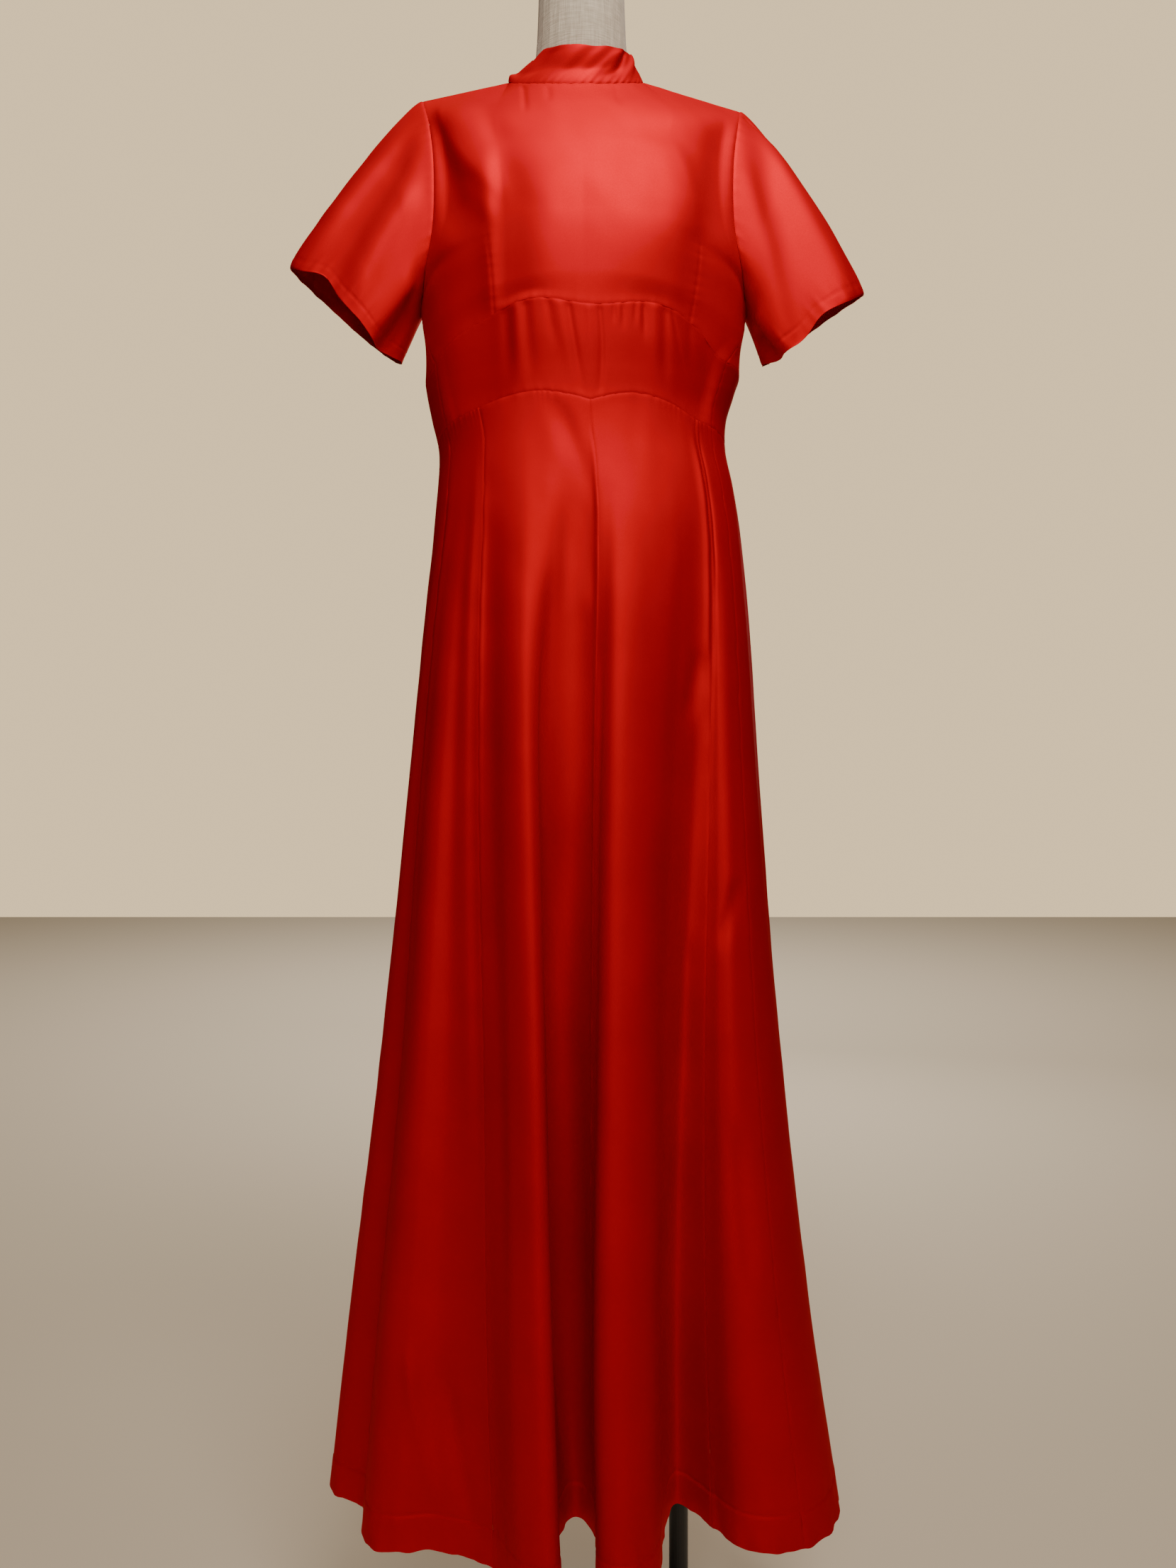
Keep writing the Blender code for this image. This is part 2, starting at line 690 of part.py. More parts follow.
def build_torso(material):
    """The form's body with flat arm plates, its shoulders and its neck, in one closed skin."""
    rings = torso_rings()
    vertices = [point for ring in rings for point in ring]
    size = len(rings[0])
    half = BODICE_COLUMNS
    faces = [list(range(size))]
    for r in range(len(rings) - 1):
        for c in range(size):
            d = (c + 1) % size
            faces.append([r * size + c, r * size + d, (r + 1) * size + d, (r + 1) * size + c])
    top = (len(rings) - 1) * size
    low = round(half * (1 - NECK_SHARE) / 2)
    high = half - low
    for i in list(range(low)) + list(range(high, half)):
        opposite = size - 1 - i
        faces.append([top + i, top + i + 1, top + opposite - 1, top + opposite])

    loop = [top + i for i in range(low, high + 1)] + [top + size - 1 - i for i in range(high, low - 1, -1)]
    turns = []
    for index in loop:
        point = vertices[index] - NECKLINE_MIDDLE
        turns.append(math.atan2(point.x / NECKLINE_HALF_WIDTH, -point.y / NECKLINE_REACH))
    for height, half_width, half_depth, drop in NECK:
        fresh = list(range(len(vertices), len(vertices) + len(loop)))
        for turn in turns:
            forward = math.cos(turn)
            tilt = drop * (forward if forward > 0 else 0.4 * forward)
            x = NECK_X + half_width * math.sin(turn)
            vertices.append(Vector((x, -half_depth * forward, height - tilt)))
        for i in range(len(loop)):
            j = (i + 1) % len(loop)
            faces.append([loop[i], loop[j], fresh[j], fresh[i]])
        loop = fresh
    faces.append(loop)
    add_mesh("form_torso", vertices, faces, material, 60)


def add_block(name, low, high, material):
    """Rectangular block between two opposite corners, in its own frame."""
    vertices = [Vector((x, y, z)) for z in (low[2], high[2]) for y in (low[1], high[1]) for x in (low[0], high[0])]
    faces = [[0, 1, 3, 2], [4, 5, 7, 6], [0, 1, 5, 4], [2, 3, 7, 6], [0, 2, 6, 4], [1, 3, 7, 5]]
    return add_mesh(name, vertices, faces, material)


def combine(item, other, operation):
    """Joins a helper block to an object, or cuts it out, and hides the helper."""
    modifier = item.modifiers.new(other.name, "BOOLEAN")
    modifier.operation = operation
    modifier.object = other
    other.hide_render = True
    other.display_type = "WIRE"


def build_zip(material):
    """Slider of the concealed back zip, lying on the cloth, and the tab that swings on its bridge.

    Both are drawn with Y out from the cloth and Z up along it, from the middle of the tab's crossbar.
    """
    here = min((bodice(0, r, False) for r in spread(5, TOP, 400)), key=lambda p: abs(p.z - SLIDER_HEIGHT))
    low_z = SLIDER_HEIGHT - TAB_LENGTH
    below = min((bodice(0, r, False) for r in spread(5, TOP, 400)), key=lambda p: abs(p.z - low_z))
    tilt = math.atan2(below.y - here.y, here.z - below.z)
    bar_height = SLIDER_LIFT + 0.0032
    axis = here + Vector((0, math.cos(tilt), math.sin(tilt))) * bar_height

    body = add_block("zip_slider", (-0.0035, -0.0032, -0.0040), (0.0035, -0.0010, 0.0060), material)
    bridge = add_block("slider_bridge", (-0.0008, -0.0012, -0.0030), (0.0008, 0.0020, 0.0050), material)
    opening = add_block("bridge_opening", (-0.0020, -0.0009, -0.0018), (0.0020, 0.0009, 0.0038), material)
    combine(body, bridge, "UNION")
    combine(body, opening, "DIFFERENCE")

    tab = add_block("zip_tab", (-0.0030, -0.0004, -TAB_LENGTH), (0.0030, 0.0004, 0.0005), material)
    window = add_block("tab_window", (-0.0014, -0.0010, -0.0070), (0.0014, 0.0010, -0.0005), material)
    combine(tab, window, "DIFFERENCE")
    for item in (body, bridge, opening, tab, window):
        item.location = axis
        item.rotation_euler.x = tilt


def add_disc(name, middle, radius, bottom, top, sides, material, chamfer=0.0015):
    """Upright cylinder with small chamfers."""
    work = bmesh.new()
    bmesh.ops.create_cone(
        work, cap_ends=True, segments=sides, radius1=radius, radius2=radius, depth=top - bottom
    )
    rims = [edge for edge in work.edges if abs(edge.verts[0].co.z - edge.verts[1].co.z) < 1e-6]
    bmesh.ops.bevel(work, geom=rims, offset=chamfer, segments=1, affect="EDGES", clamp_overlap=True)
    mesh = bpy.data.meshes.new(name)
    work.to_mesh(mesh)
    work.free()
    mesh.shade_smooth()
    mesh.set_sharp_from_angle(angle=math.radians(30))
    mesh.materials.append(material)
    item = bpy.data.objects.new(name, mesh)
    item.location = (middle.x, middle.y, (top + bottom) / 2)
    bpy.context.collection.objects.link(item)
    return item


def build_stand(material):
    """Flange under the torso, upright pole and round base plate."""
    gap = 0.0003
    flange_bottom = TORSO_BOTTOM - gap - FLANGE_THICKNESS
    add_disc("form_base", Vector((0, 0, 0)), BASE_RADIUS, 0.0, BASE_THICKNESS, BASE_SIDES, material)
    add_disc(
        "form_pole", POLE_MIDDLE, POLE_RADIUS, BASE_THICKNESS + gap, flange_bottom - gap, POLE_SIDES, material
    )
    add_disc(
        "form_flange", POLE_MIDDLE, FLANGE_RADIUS, flange_bottom, TORSO_BOTTOM - gap, 32, material
    )


def main():
    clear_scene()
    satin = make_material("red_satin", (0.62, 0.012, 0.012), 0.42)
    painted = make_material("red_painted_metal", (0.45, 0.012, 0.012), 0.35, 0.3)
    linen = make_material("form_linen", (0.47, 0.40, 0.32), 0.9)
    black = make_material("black_paint", (0.012, 0.012, 0.012), 0.45)
    build_skirt(satin)
    build_midriff(satin)
    build_bodice(satin)
    build_sleeves(satin)
    build_collar(satin)
    build_zip(painted)
    build_torso(linen)
    build_stand(black)


main()
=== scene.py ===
# %% [markdown]
# # A red satin dress on its dress form
#
# The dress is sewn from seventeen pieces of satin: a darted bodice with two back pieces, a stand collar, two
# short sleeves, a shaped midriff band and eight flared gores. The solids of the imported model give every
# piece its place and its main folds. Here each piece becomes a thin, finely divided shell on the same form,
# with its smaller creases, seams and stitching, and everything gets its real surface.

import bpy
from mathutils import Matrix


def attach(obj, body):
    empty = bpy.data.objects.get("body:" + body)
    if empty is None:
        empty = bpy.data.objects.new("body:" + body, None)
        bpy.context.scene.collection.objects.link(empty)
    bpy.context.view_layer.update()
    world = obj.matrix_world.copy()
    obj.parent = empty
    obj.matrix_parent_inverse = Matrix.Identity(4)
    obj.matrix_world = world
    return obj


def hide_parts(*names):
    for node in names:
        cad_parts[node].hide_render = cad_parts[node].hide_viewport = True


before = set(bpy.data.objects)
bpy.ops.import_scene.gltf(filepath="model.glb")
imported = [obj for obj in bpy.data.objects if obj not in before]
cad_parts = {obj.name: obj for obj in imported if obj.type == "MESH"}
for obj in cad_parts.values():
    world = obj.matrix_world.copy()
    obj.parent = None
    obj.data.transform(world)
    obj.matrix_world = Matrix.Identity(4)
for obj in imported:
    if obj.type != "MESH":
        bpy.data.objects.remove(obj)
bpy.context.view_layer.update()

# %% Modules
import math

import bpy
import numpy as np
from mathutils import Vector

# %% [markdown]
# ## Camera
#
# The picture was taken upright and level, from chest height and quite near, so the near folds look wide and
# the collar is seen a little from below. A camera is set by its focal length and its place. The long side of
# the frame is the 36 mm side of the sensor.

# %% Camera
FOCAL_MM = 27.03
CAMERA_PLACE = (0.006, -1.362, 1.0575)
camera = bpy.data.objects.new("camera", bpy.data.cameras.new("camera"))
camera.data.lens = FOCAL_MM
camera.data.sensor_width = 36
camera.location = CAMERA_PLACE
camera.rotation_euler = (math.radians(90), 0, 0)
bpy.context.scene.collection.objects.link(camera)
bpy.context.scene.camera = camera
print("camera", CAMERA_PLACE, FOCAL_MM, "mm")

# %% [markdown]
# ## Smooth curves through short tables
#
# A cutter keeps a block of sizes for each height of the figure. The same is done here: short tables of
# sizes, and one smooth cubic curve through each column. All the helpers take whole grids of numbers at once,
# because a garment needs several hundred thousand points and a loop over them in Python would be slow.


# %% Curve helpers
def mix(a, b, share):
    return a + (b - a) * share


def hermite(a, b, slope_a, slope_b, share):
    """Cubic between a and b; the slopes are per unit of share."""
    s2 = share * share
    s3 = s2 * share
    near = (2 * s3 - 3 * s2 + 1) * a + (s3 - 2 * s2 + share) * slope_a
    return near + (3 * s2 - 2 * s3) * b + (s3 - s2) * slope_b


def follow(table, key, column):
    """Value of a column of a table at a key between its rows, on a smooth curve through the rows."""
    keys = np.array([row[0] for row in table], dtype=float)
    values = np.array([row[column] for row in table], dtype=float)
    low = np.maximum(np.arange(len(keys)) - 1, 0)
    high = np.minimum(np.arange(len(keys)) + 1, len(keys) - 1)
    slopes = (values[high] - values[low]) / (keys[high] - keys[low])
    key = np.clip(key, keys[0], keys[-1])
    row = np.clip(np.searchsorted(keys, key, side="right") - 1, 0, len(keys) - 2)
    width = keys[row + 1] - keys[row]
    share = (key - keys[row]) / width
    return hermite(values[row], values[row + 1], slopes[row] * width, slopes[row + 1] * width, share)


def through(points, position, corner, sharpness):
    """Places on a smooth curve through points, with a true corner at one of them where sharpness is 1."""
    points = np.concatenate([points[:1] * 2 - points[1:2], points, points[-1:] * 2 - points[-2:-1]])
    last = len(points) - 3
    row = np.clip(np.floor(position).astype(int), 0, last - 1)

    def at(index):
        return np.take_along_axis(points, (index + 1)[None, ..., None], axis=0)[0]

    a, b = at(row), at(row + 1)
    slope_a, slope_b = (b - at(row - 1)) / 2, (at(row + 2) - a) / 2
    bend = sharpness[..., None]
    slope_a = np.where((row == corner)[..., None], mix(slope_a, b - a, bend), slope_a)
    slope_b = np.where((row + 1 == corner)[..., None], mix(slope_b, b - a, bend), slope_b)
    return hermite(a, b, slope_a, slope_b, (position - row)[..., None])


def places(x, y, z):
    return np.stack(np.broadcast_arrays(x, y, z), axis=-1).astype(float)


def smooth(value):
    """Runs from 0 to 1 without a corner while the value does."""
    value = np.clip(value, 0, 1)
    return value * value * (3 - 2 * value)


# %% [markdown]
# ## The dressed figure and its seams
#
# Everything hangs from one figure: half widths and depths at each height, from the hem to the chest. The two
# arched seams of the midriff band are heights around that figure. The hem is a plan seen from above, with
# the crests and troughs of the folds, and the skirt is blended from the smooth figure at the waist to that
# plan at the hem. These tables are the solids' own, so the fine shells lie on them.

# %% Sizes of the figure
HEM_HEIGHT = 0.240
# Columns: height, reach to -X, reach to +X, reach to the front, reach to the back
FIGURE = (
    (0.24, 0.2954, 0.2942, 0.118, 0.15),
    (0.46, 0.2708, 0.2614, 0.12, 0.146),
    (0.75, 0.2355, 0.2286, 0.122, 0.14),
    (1.05, 0.2068, 0.2057, 0.122, 0.134),
    (1.24, 0.1863, 0.1934, 0.118, 0.126),
    (1.34, 0.1732, 0.1835, 0.11, 0.11),
    (1.4, 0.167, 0.173, 0.103, 0.092),
    (1.44, 0.1658, 0.1645, 0.099, 0.082),
    (1.475, 0.1735, 0.1655, 0.1, 0.079),
    (1.505, 0.1797, 0.1745, 0.105, 0.08),
    (1.54, 0.1838, 0.185, 0.113, 0.084),
    (1.6, 0.187, 0.19, 0.124, 0.09),
)
# Columns: angle around the figure, 0 in front and 90 at +X, and height
UNDERBUST_SEAM = (
    (-180, 1.515), (-110, 1.517), (-68, 1.522), (-51, 1.546), (-33, 1.562), (-17, 1.5732), (3, 1.5656),
    (24, 1.57), (40, 1.5565), (57, 1.529), (70, 1.527), (110, 1.517), (180, 1.515),
)
WAIST_SEAM = (
    (-180, 1.44), (-110, 1.444), (-82, 1.448), (-61, 1.4587), (-40.5, 1.469), (-26, 1.4775),
    (-15.5, 1.4803), (-8, 1.4785), (0, 1.4737), (4, 1.4706), (8, 1.4732), (15, 1.4776), (23, 1.479),
    (36, 1.4725), (50, 1.46), (62, 1.456), (82, 1.449), (110, 1.444), (180, 1.44),
)
# Columns: angle at the waist, x, y at the hem, all the way around from the left side seam
HEM_PLAN = (
    (-64, -0.248, -0.031), (-60, -0.2434, -0.0614), (-56, -0.231, -0.098), (-51, -0.201, -0.11),
    (-46, -0.155, -0.107), (-40.5, -0.0925, -0.135), (-29, -0.06, -0.187), (-18, -0.025, -0.19),
    (-11, -0.027, -0.092), (-4, -0.008, -0.05), (4, 0.014, -0.086), (11, 0.0175, -0.172),
    (20, 0.044, -0.194), (30, 0.0765, -0.164), (37, 0.088, -0.082), (43, 0.107, -0.024),
    (50, 0.143, -0.066), (53, 0.168, -0.1), (57, 0.2, -0.1115), (62, 0.238, -0.103), (70, 0.268, -0.08),
    (80, 0.287, -0.042), (90, 0.294, 0.004), (101, 0.288, 0.052), (112, 0.262, 0.105), (121, 0.214, 0.122),
    (130, 0.176, 0.165), (140, 0.14, 0.212), (151, 0.098, 0.198), (160, 0.08, 0.132), (170, 0.05, 0.108),
    (180, 0.008, 0.15), (190, -0.022, 0.212), (201, -0.066, 0.222), (211, -0.098, 0.165),
    (220, -0.12, 0.112), (231, -0.156, 0.14), (241, -0.19, 0.198), (252, -0.236, 0.172),
    (263, -0.268, 0.115), (273, -0.272, 0.066), (283, -0.294, 0.028), (291, -0.288, -0.004),
)
GORE_SEAMS = (-64, -40.5, 4, 50, 62, 130, 180, 231)  # angles at the waist
FOLD_START, FOLD_GROWTH = 0.06, 1.20
SIDE_LEFT, SIDE_RIGHT = -64, 62


# %% Figure, band seams and skirt
def figure(height, angle):
    """Places on the dressed figure, without folds."""
    turn = np.radians(angle)
    left, right = follow(FIGURE, height, 1), follow(FIGURE, height, 2)
    depth = np.where(np.cos(turn) > 0, follow(FIGURE, height, 3), follow(FIGURE, height, 4))
    return places((right - left) / 2 + (right + left) / 2 * np.sin(turn), -depth * np.cos(turn), height)


def half_turn(angle):
    return (angle + 180) % 360 - 180


def underbust(angle):
    return follow(UNDERBUST_SEAM, half_turn(angle), 1)


def waist(angle):
    return follow(WAIST_SEAM, half_turn(angle), 1)


def hem_row(position):
    """Angle, x and y of the hem plan at positions counted in its rows, around the whole hem."""
    plan = np.array(HEM_PLAN)
    row = np.floor(position).astype(int)

    def entry(index):
        turns, place = np.divmod(index, len(plan))
        return plan[place] + np.stack([360.0 * turns, 0 * turns, 0 * turns], axis=-1)

    a, b = entry(row), entry(row + 1)
    share = (position - row)[..., None]
    return hermite(a, b, (b - entry(row - 1)) / 2, (entry(row + 2) - a) / 2, share)


def skirt(position, share):
    """Places on the skirt under positions of the hem plan, at shares of the way down."""
    plan = hem_row(position)
    angle = plan[..., 0]
    height = mix(waist(angle), HEM_HEIGHT, share)
    fold = np.maximum(0, (share - FOLD_START) / (1 - FOLD_START)) ** FOLD_GROWTH
    unfolded = figure(np.full_like(height, HEM_HEIGHT), angle)
    result = figure(height, angle)
    result[..., 0] += fold * (plan[..., 1] - unfolded[..., 0])
    result[..., 1] += fold * (plan[..., 2] - unfolded[..., 1])
    return result


print("hem plan rows:", len(HEM_PLAN))

# %% [markdown]
# ## Bodice, neckline and sleeves
#
# The bodice is a stack of bowed sections between the band's upper seam and the top edge, where the middle
# half is neckline and the rest is shoulder seam. The armholes are the outer ends of the sections above the
# underarm. Each sleeve is a tube from its armhole to an open, slanting cuff.

# %% Sizes of the bodice and the sleeves
# Columns: height at the middle, at the edge, half width, y at the middle, at the edge, span to each side
FRONT_SECTIONS = (
    (1.6, 1.56, 0.179, -0.121, -0.028, 76),
    (1.635, 1.597, 0.188, -0.122, 0.0, 88),
    (1.665, 1.632, 0.177, -0.1205, -0.046, 68),
    (1.705, 1.68, 0.167, -0.1145, -0.058, 58),
    (1.755, 1.745, 0.167, -0.1, -0.052, 52),
    (1.8, 1.8, 0.174, -0.079, -0.033, 50),
)
BACK_SECTIONS = (
    (1.59, 1.56, 0.179, 0.088, -0.028, 100),
    (1.63, 1.597, 0.188, 0.095, 0.0, 88),
    (1.67, 1.632, 0.181, 0.1, 0.04, 68),
    (1.715, 1.68, 0.172, 0.103, 0.058, 58),
    (1.765, 1.745, 0.169, 0.098, 0.056, 52),
    (1.815, 1.8, 0.174, 0.076, 0.034, 50),
)
UNDERARM, TOP = 2, len(FRONT_SECTIONS) + 1
MIDDLE_X = 0.001
BUST_X, BUST_HEIGHT, BUST_RADIUS, BUST_RISE = 0.088, 1.640, 0.070, 0.007
SHOULDER_TIP_LEFT = np.array((-0.1847, 0.0, 1.8470))
SHOULDER_TIP_RIGHT = np.array((0.1811, 0.0, 1.8349))
NECKLINE_MIDDLE = np.array((-0.0075, -0.002, 1.8677))
NECKLINE_HALF_WIDTH, NECKLINE_REACH, NECKLINE_DROP, NECKLINE_LIFT = 0.078, 0.056, 0.034, 0.012
NECK_SHARE = 0.50
# Columns: sign of its side, outer and inner corner of the cuff
SLEEVES = {
    "left": (-1, np.array((-0.3323, -0.008, 1.6487)), np.array((-0.2084, -0.008, 1.5430))),
    "right": (1, np.array((0.3188, -0.008, 1.6184)), np.array((0.2070, -0.008, 1.5400))),
}
CUFF_DEPTH, CAP_RISE = 0.052, 0.0125


# %% Bodice and sleeve shapes
def neckline(angle):
    turn = np.radians(angle)
    forward = np.cos(turn)
    rise = np.where(forward > 0, -NECKLINE_DROP * forward, -NECKLINE_LIFT * forward)
    return places(
        NECKLINE_MIDDLE[0] + NECKLINE_HALF_WIDTH * np.sin(turn),
        NECKLINE_MIDDLE[1] - NECKLINE_REACH * forward,
        NECKLINE_MIDDLE[2] + rise,
    )


def top_edge(across, front):
    """Top edge of the bodice, from -1 at the left shoulder tip to 1 at the right one."""
    side = np.where(across > 0, 1.0, -1.0)
    reach = np.abs(across)
    turn = 90 * np.minimum(reach / NECK_SHARE, 1)
    neck = neckline(side * (turn if front else 180 - turn))
    tip = np.where((side > 0)[..., None], SHOULDER_TIP_RIGHT, SHOULDER_TIP_LEFT)
    return mix(neck, tip, np.maximum(0, (reach - NECK_SHARE) / (1 - NECK_SHARE))[..., None])


def panel_angle(across, front):
    if front:
        return mix(SIDE_LEFT, SIDE_RIGHT, (across + 1) / 2)
    return np.where(across > 0, 180 - across * (180 - SIDE_RIGHT), -180 - across * (180 + SIDE_LEFT))


def bodice(across, row, front):
    """Places on the bodice; the row runs from 0 at the lower seam to TOP at the top edge."""
    across, row = np.broadcast_arrays(np.asarray(across, float), np.asarray(row, float))
    angle = panel_angle(across, front)
    points = [figure(underbust(angle), angle)]
    for middle_z, edge_z, half_width, middle_y, edge_y, span in FRONT_SECTIONS if front else BACK_SECTIONS:
        turn = math.radians(span)
        bow = (1 - np.cos(across * turn)) / (1 - math.cos(turn))
        x = MIDDLE_X + half_width * np.sin(across * turn) / math.sin(turn)
        points.append(places(x, mix(middle_y, edge_y, bow), mix(middle_z, edge_z, across * across)))
    points.append(top_edge(across, front))
    result = through(np.stack(points), row, UNDERARM, across**8)
    if front:
        beside, above = np.abs(result[..., 0] - MIDDLE_X) - BUST_X, result[..., 2] - BUST_HEIGHT
        away = np.hypot(beside, above) / BUST_RADIUS
        result[..., 1] -= BUST_RISE * smooth(row) * (1 - across**4) * np.exp(-away * away)
    return result


def sleeve(side, turn, share):
    """Places on a sleeve at shares of the way around it, from the underarm forward, and of its length."""
    sign, outer, inner = SLEEVES[side]
    turn, share = np.broadcast_arrays(np.asarray(turn, float), np.asarray(share, float))
    ahead = bodice(sign, mix(UNDERARM, TOP, np.minimum(turn, 0.5) * 2), True)
    behind = bodice(sign, mix(TOP, UNDERARM, np.maximum(turn, 0.5) * 2 - 1), False)
    start = np.where((turn <= 0.5)[..., None], ahead, behind)
    angle = math.tau * turn
    cuff = (outer + inner) / 2 - (outer - inner) / 2 * np.cos(angle)[..., None]
    cuff = cuff + places(0 * angle, -CUFF_DEPTH * np.sin(angle), 0 * angle)
    rise = CAP_RISE * np.sqrt(np.maximum(0, 4 * share * (1 - share))) * np.sin(math.pi * turn) ** 2
    return mix(start, cuff, share[..., None]) + rise[..., None] * np.array((0.8 * sign, 0, 0.6))


print("shoulder to shoulder:", round(float(SHOULDER_TIP_RIGHT[0] - SHOULDER_TIP_LEFT[0]), 3))

# %% [markdown]
# ## Relief: creases, seams and puckers
#
# Draped cloth shows three scales. The large folds are in the form already. Creases run along a line and
# fade out at both ends, steeper on one side than on the other. Along every seam the two layers turn in, so
# there is a fine groove, and the thread draws the cloth into short uneven ripples. Each of them is a height
# over the surface, so they can be added up and the points moved out along the surface's normals.


# %% Relief helpers
FADE_IN, FADE_OUT = 0.22, 0.34  # shares of a crease's length over which it rises and runs out


def ridge(distance, height, width):
    """Rounded ridge along a line, or a groove where the height is negative."""
    return height * np.exp(-((distance / width) ** 2))


def crease(across, down, scale, row):
    """Height of one crease, which runs from one place to another with a bow to one side.

    across and down are the piece's own coordinates and scale turns across into metres. The row holds:
    across and down at the start, across and down at the end, bow, width on either side, height.
    """
    first, top, last, bottom, bow, before, after, height = row
    share = (down - top) / (bottom - top)
    path = mix(first, last, share) + bow * 4 * share * (1 - share)
    slant = abs(bottom - top) / np.hypot((last - first) * scale, bottom - top)
    off = (across - path) * scale * slant
    fade = smooth(share / FADE_IN) * smooth((1 - share) / FADE_OUT)
    return ridge(off, height * fade, np.where(off < 0, before, after))


def creases(across, down, scale, length, table):
    """Sum of a table of creases; its rows and down count in shares of the length."""
    total = 0
    for first, top, last, bottom, *rest in table:
        row = (first, top * length, last, bottom * length, *rest)
        total = total + crease(across, down * length, scale, row)
    return total


def uneven(distance, spacing, shift):
    """Uneven waves between -1 and 1, about one for each spacing."""
    turn = math.tau * distance / spacing
    return 0.55 * np.sin(turn + shift) + 0.45 * np.sin(1.618 * turn + 2.3 * shift) * np.sin(0.37 * turn)


SEAM_DEPTH, SEAM_WIDTH = 0.00028, 0.0012
ALLOWANCE, SWELLING = 0.007, 0.0001


def seam(distance):
    """Groove of a seam and the faint swelling over its allowance."""
    swelling = ridge(distance - ALLOWANCE / 2, SWELLING, ALLOWANCE / 2)
    return swelling + ridge(distance, -SEAM_DEPTH, SEAM_WIDTH)


def pucker(along, distance, spacing, reach, height, shift):
    """Short ripples across a seam that its thread draws in."""
    return height * uneven(along, spacing, shift) * np.exp(-distance / reach)


def run(grid, axis):
    """Distance along the rows or the columns of a grid, from its first line."""
    steps = np.linalg.norm(np.diff(grid, axis=axis), axis=-1)
    total = np.cumsum(steps, axis=axis)
    return np.concatenate([np.zeros_like(total[:, :1] if axis else total[:1]), total], axis=axis)


def edge_runs(grid):
    """Distances from the left, right, first-row and last-row edges of a grid."""
    across, down = run(grid, 1), run(grid, 0)
    return across, across[:, -1:] - across, down, down[-1:] - down


def calm(distances, reaches):
    """0 at the edges of a piece, where its creases end in the seams, and 1 beyond each edge's reach."""
    share = 1.0
    for distance, reach in zip(distances, reaches):
        share = share * smooth(distance / reach)
    return share


def sewn(distances, along_sides, along_ends, spacing, reach, heights, shift):
    """Seams with their puckers on the sides and the ends of a piece, with one pucker height for each."""
    total = 0
    for number, (distance, height) in enumerate(zip(distances, heights)):
        along = along_sides if number < 2 else along_ends
        total = total + seam(distance) + pucker(along, distance, spacing, reach, height, number + shift)
    return total


# %% [markdown]
# ## From a grid of points to a cloth shell
#
# Real satin of this weight is about 0.3 mm thick. A shell of 0.6 mm is still thin to the eye and keeps both
# sides apart in the render. The outer points are moved along the normals by the relief, the inner points
# follow at the cloth's thickness, and the rim closes the two, so each piece is one closed body. Building the
# mesh from numbers was chosen over sculpting, because every seam has to meet its neighbour exactly.

# %% Shell helpers
CLOTH = 0.0006
COLLECTION = bpy.context.scene.collection
made = {}


def normals_of(grid, middle, ring):
    """Unit normals of a grid, pointing away from the middle."""
    if ring:
        across = np.roll(grid, -1, axis=1) - np.roll(grid, 1, axis=1)
    else:
        across = np.gradient(grid, axis=1)
    normal = np.cross(across, np.gradient(grid, axis=0))
    normal /= np.maximum(np.linalg.norm(normal, axis=-1, keepdims=True), 1e-12)
    return normal if (normal * (grid - middle)).sum() > 0 else -normal


def shell_mesh(name, outer, inner, ring):
    """Closed mesh between two grids of points."""
    rows, columns = outer.shape[:2]
    index = np.arange(rows * columns).reshape(rows, columns)
    if ring:
        index = np.concatenate([index, index[:, :1]], axis=1)
    a, b, c, d = index[:-1, :-1], index[:-1, 1:], index[1:, 1:], index[1:, :-1]
    skin = np.stack([a, b, c, d], axis=-1).reshape(-1, 4)
    count = rows * columns
    edges = [index[-1], index[0][::-1]] + ([] if ring else [index[:, 0], index[::-1, -1]])
    rims = [np.stack([edge[:-1], edge[1:], edge[1:] + count, edge[:-1] + count], axis=-1) for edge in edges]
    faces = np.concatenate([skin, skin[:, ::-1] + count] + [rim[:, ::-1] for rim in rims])
    mesh = bpy.data.meshes.new(name)
    vertices = np.concatenate([outer.reshape(-1, 3), inner.reshape(-1, 3)])
    mesh.vertices.add(len(vertices))
    mesh.vertices.foreach_set("co", vertices.ravel())
    mesh.loops.add(faces.size)
    mesh.loops.foreach_set("vertex_index", faces.ravel())
    mesh.polygons.add(len(faces))
    mesh.polygons.foreach_set("loop_start", np.arange(0, faces.size, 4))
    mesh.update(calc_edges=True)
    mesh.validate()
    return mesh


DEEPEST = 0.0085  # the form lies 9 to 10 mm inside the cloth, so no hollow may reach it
FORM_UNDERSIDE, FREE_ROOM, ROOM_OPENS = 1.06, 0.050, 0.35  # below the form the hollows may be deeper
SLACK, SLACK_WIDTH, SLACK_LENGTH = 0.0005, 0.060, 0.140
SHARP_ANGLE = 55


def slack(x, y, z):
    """Faint slanting waves: hanging satin is never quite smooth, and its gloss shows it."""
    return SLACK * uneven(x + 0.6 * y + 0.25 * z, SLACK_WIDTH, 0.7) * uneven(z - 0.4 * x, SLACK_LENGTH, 1.9)


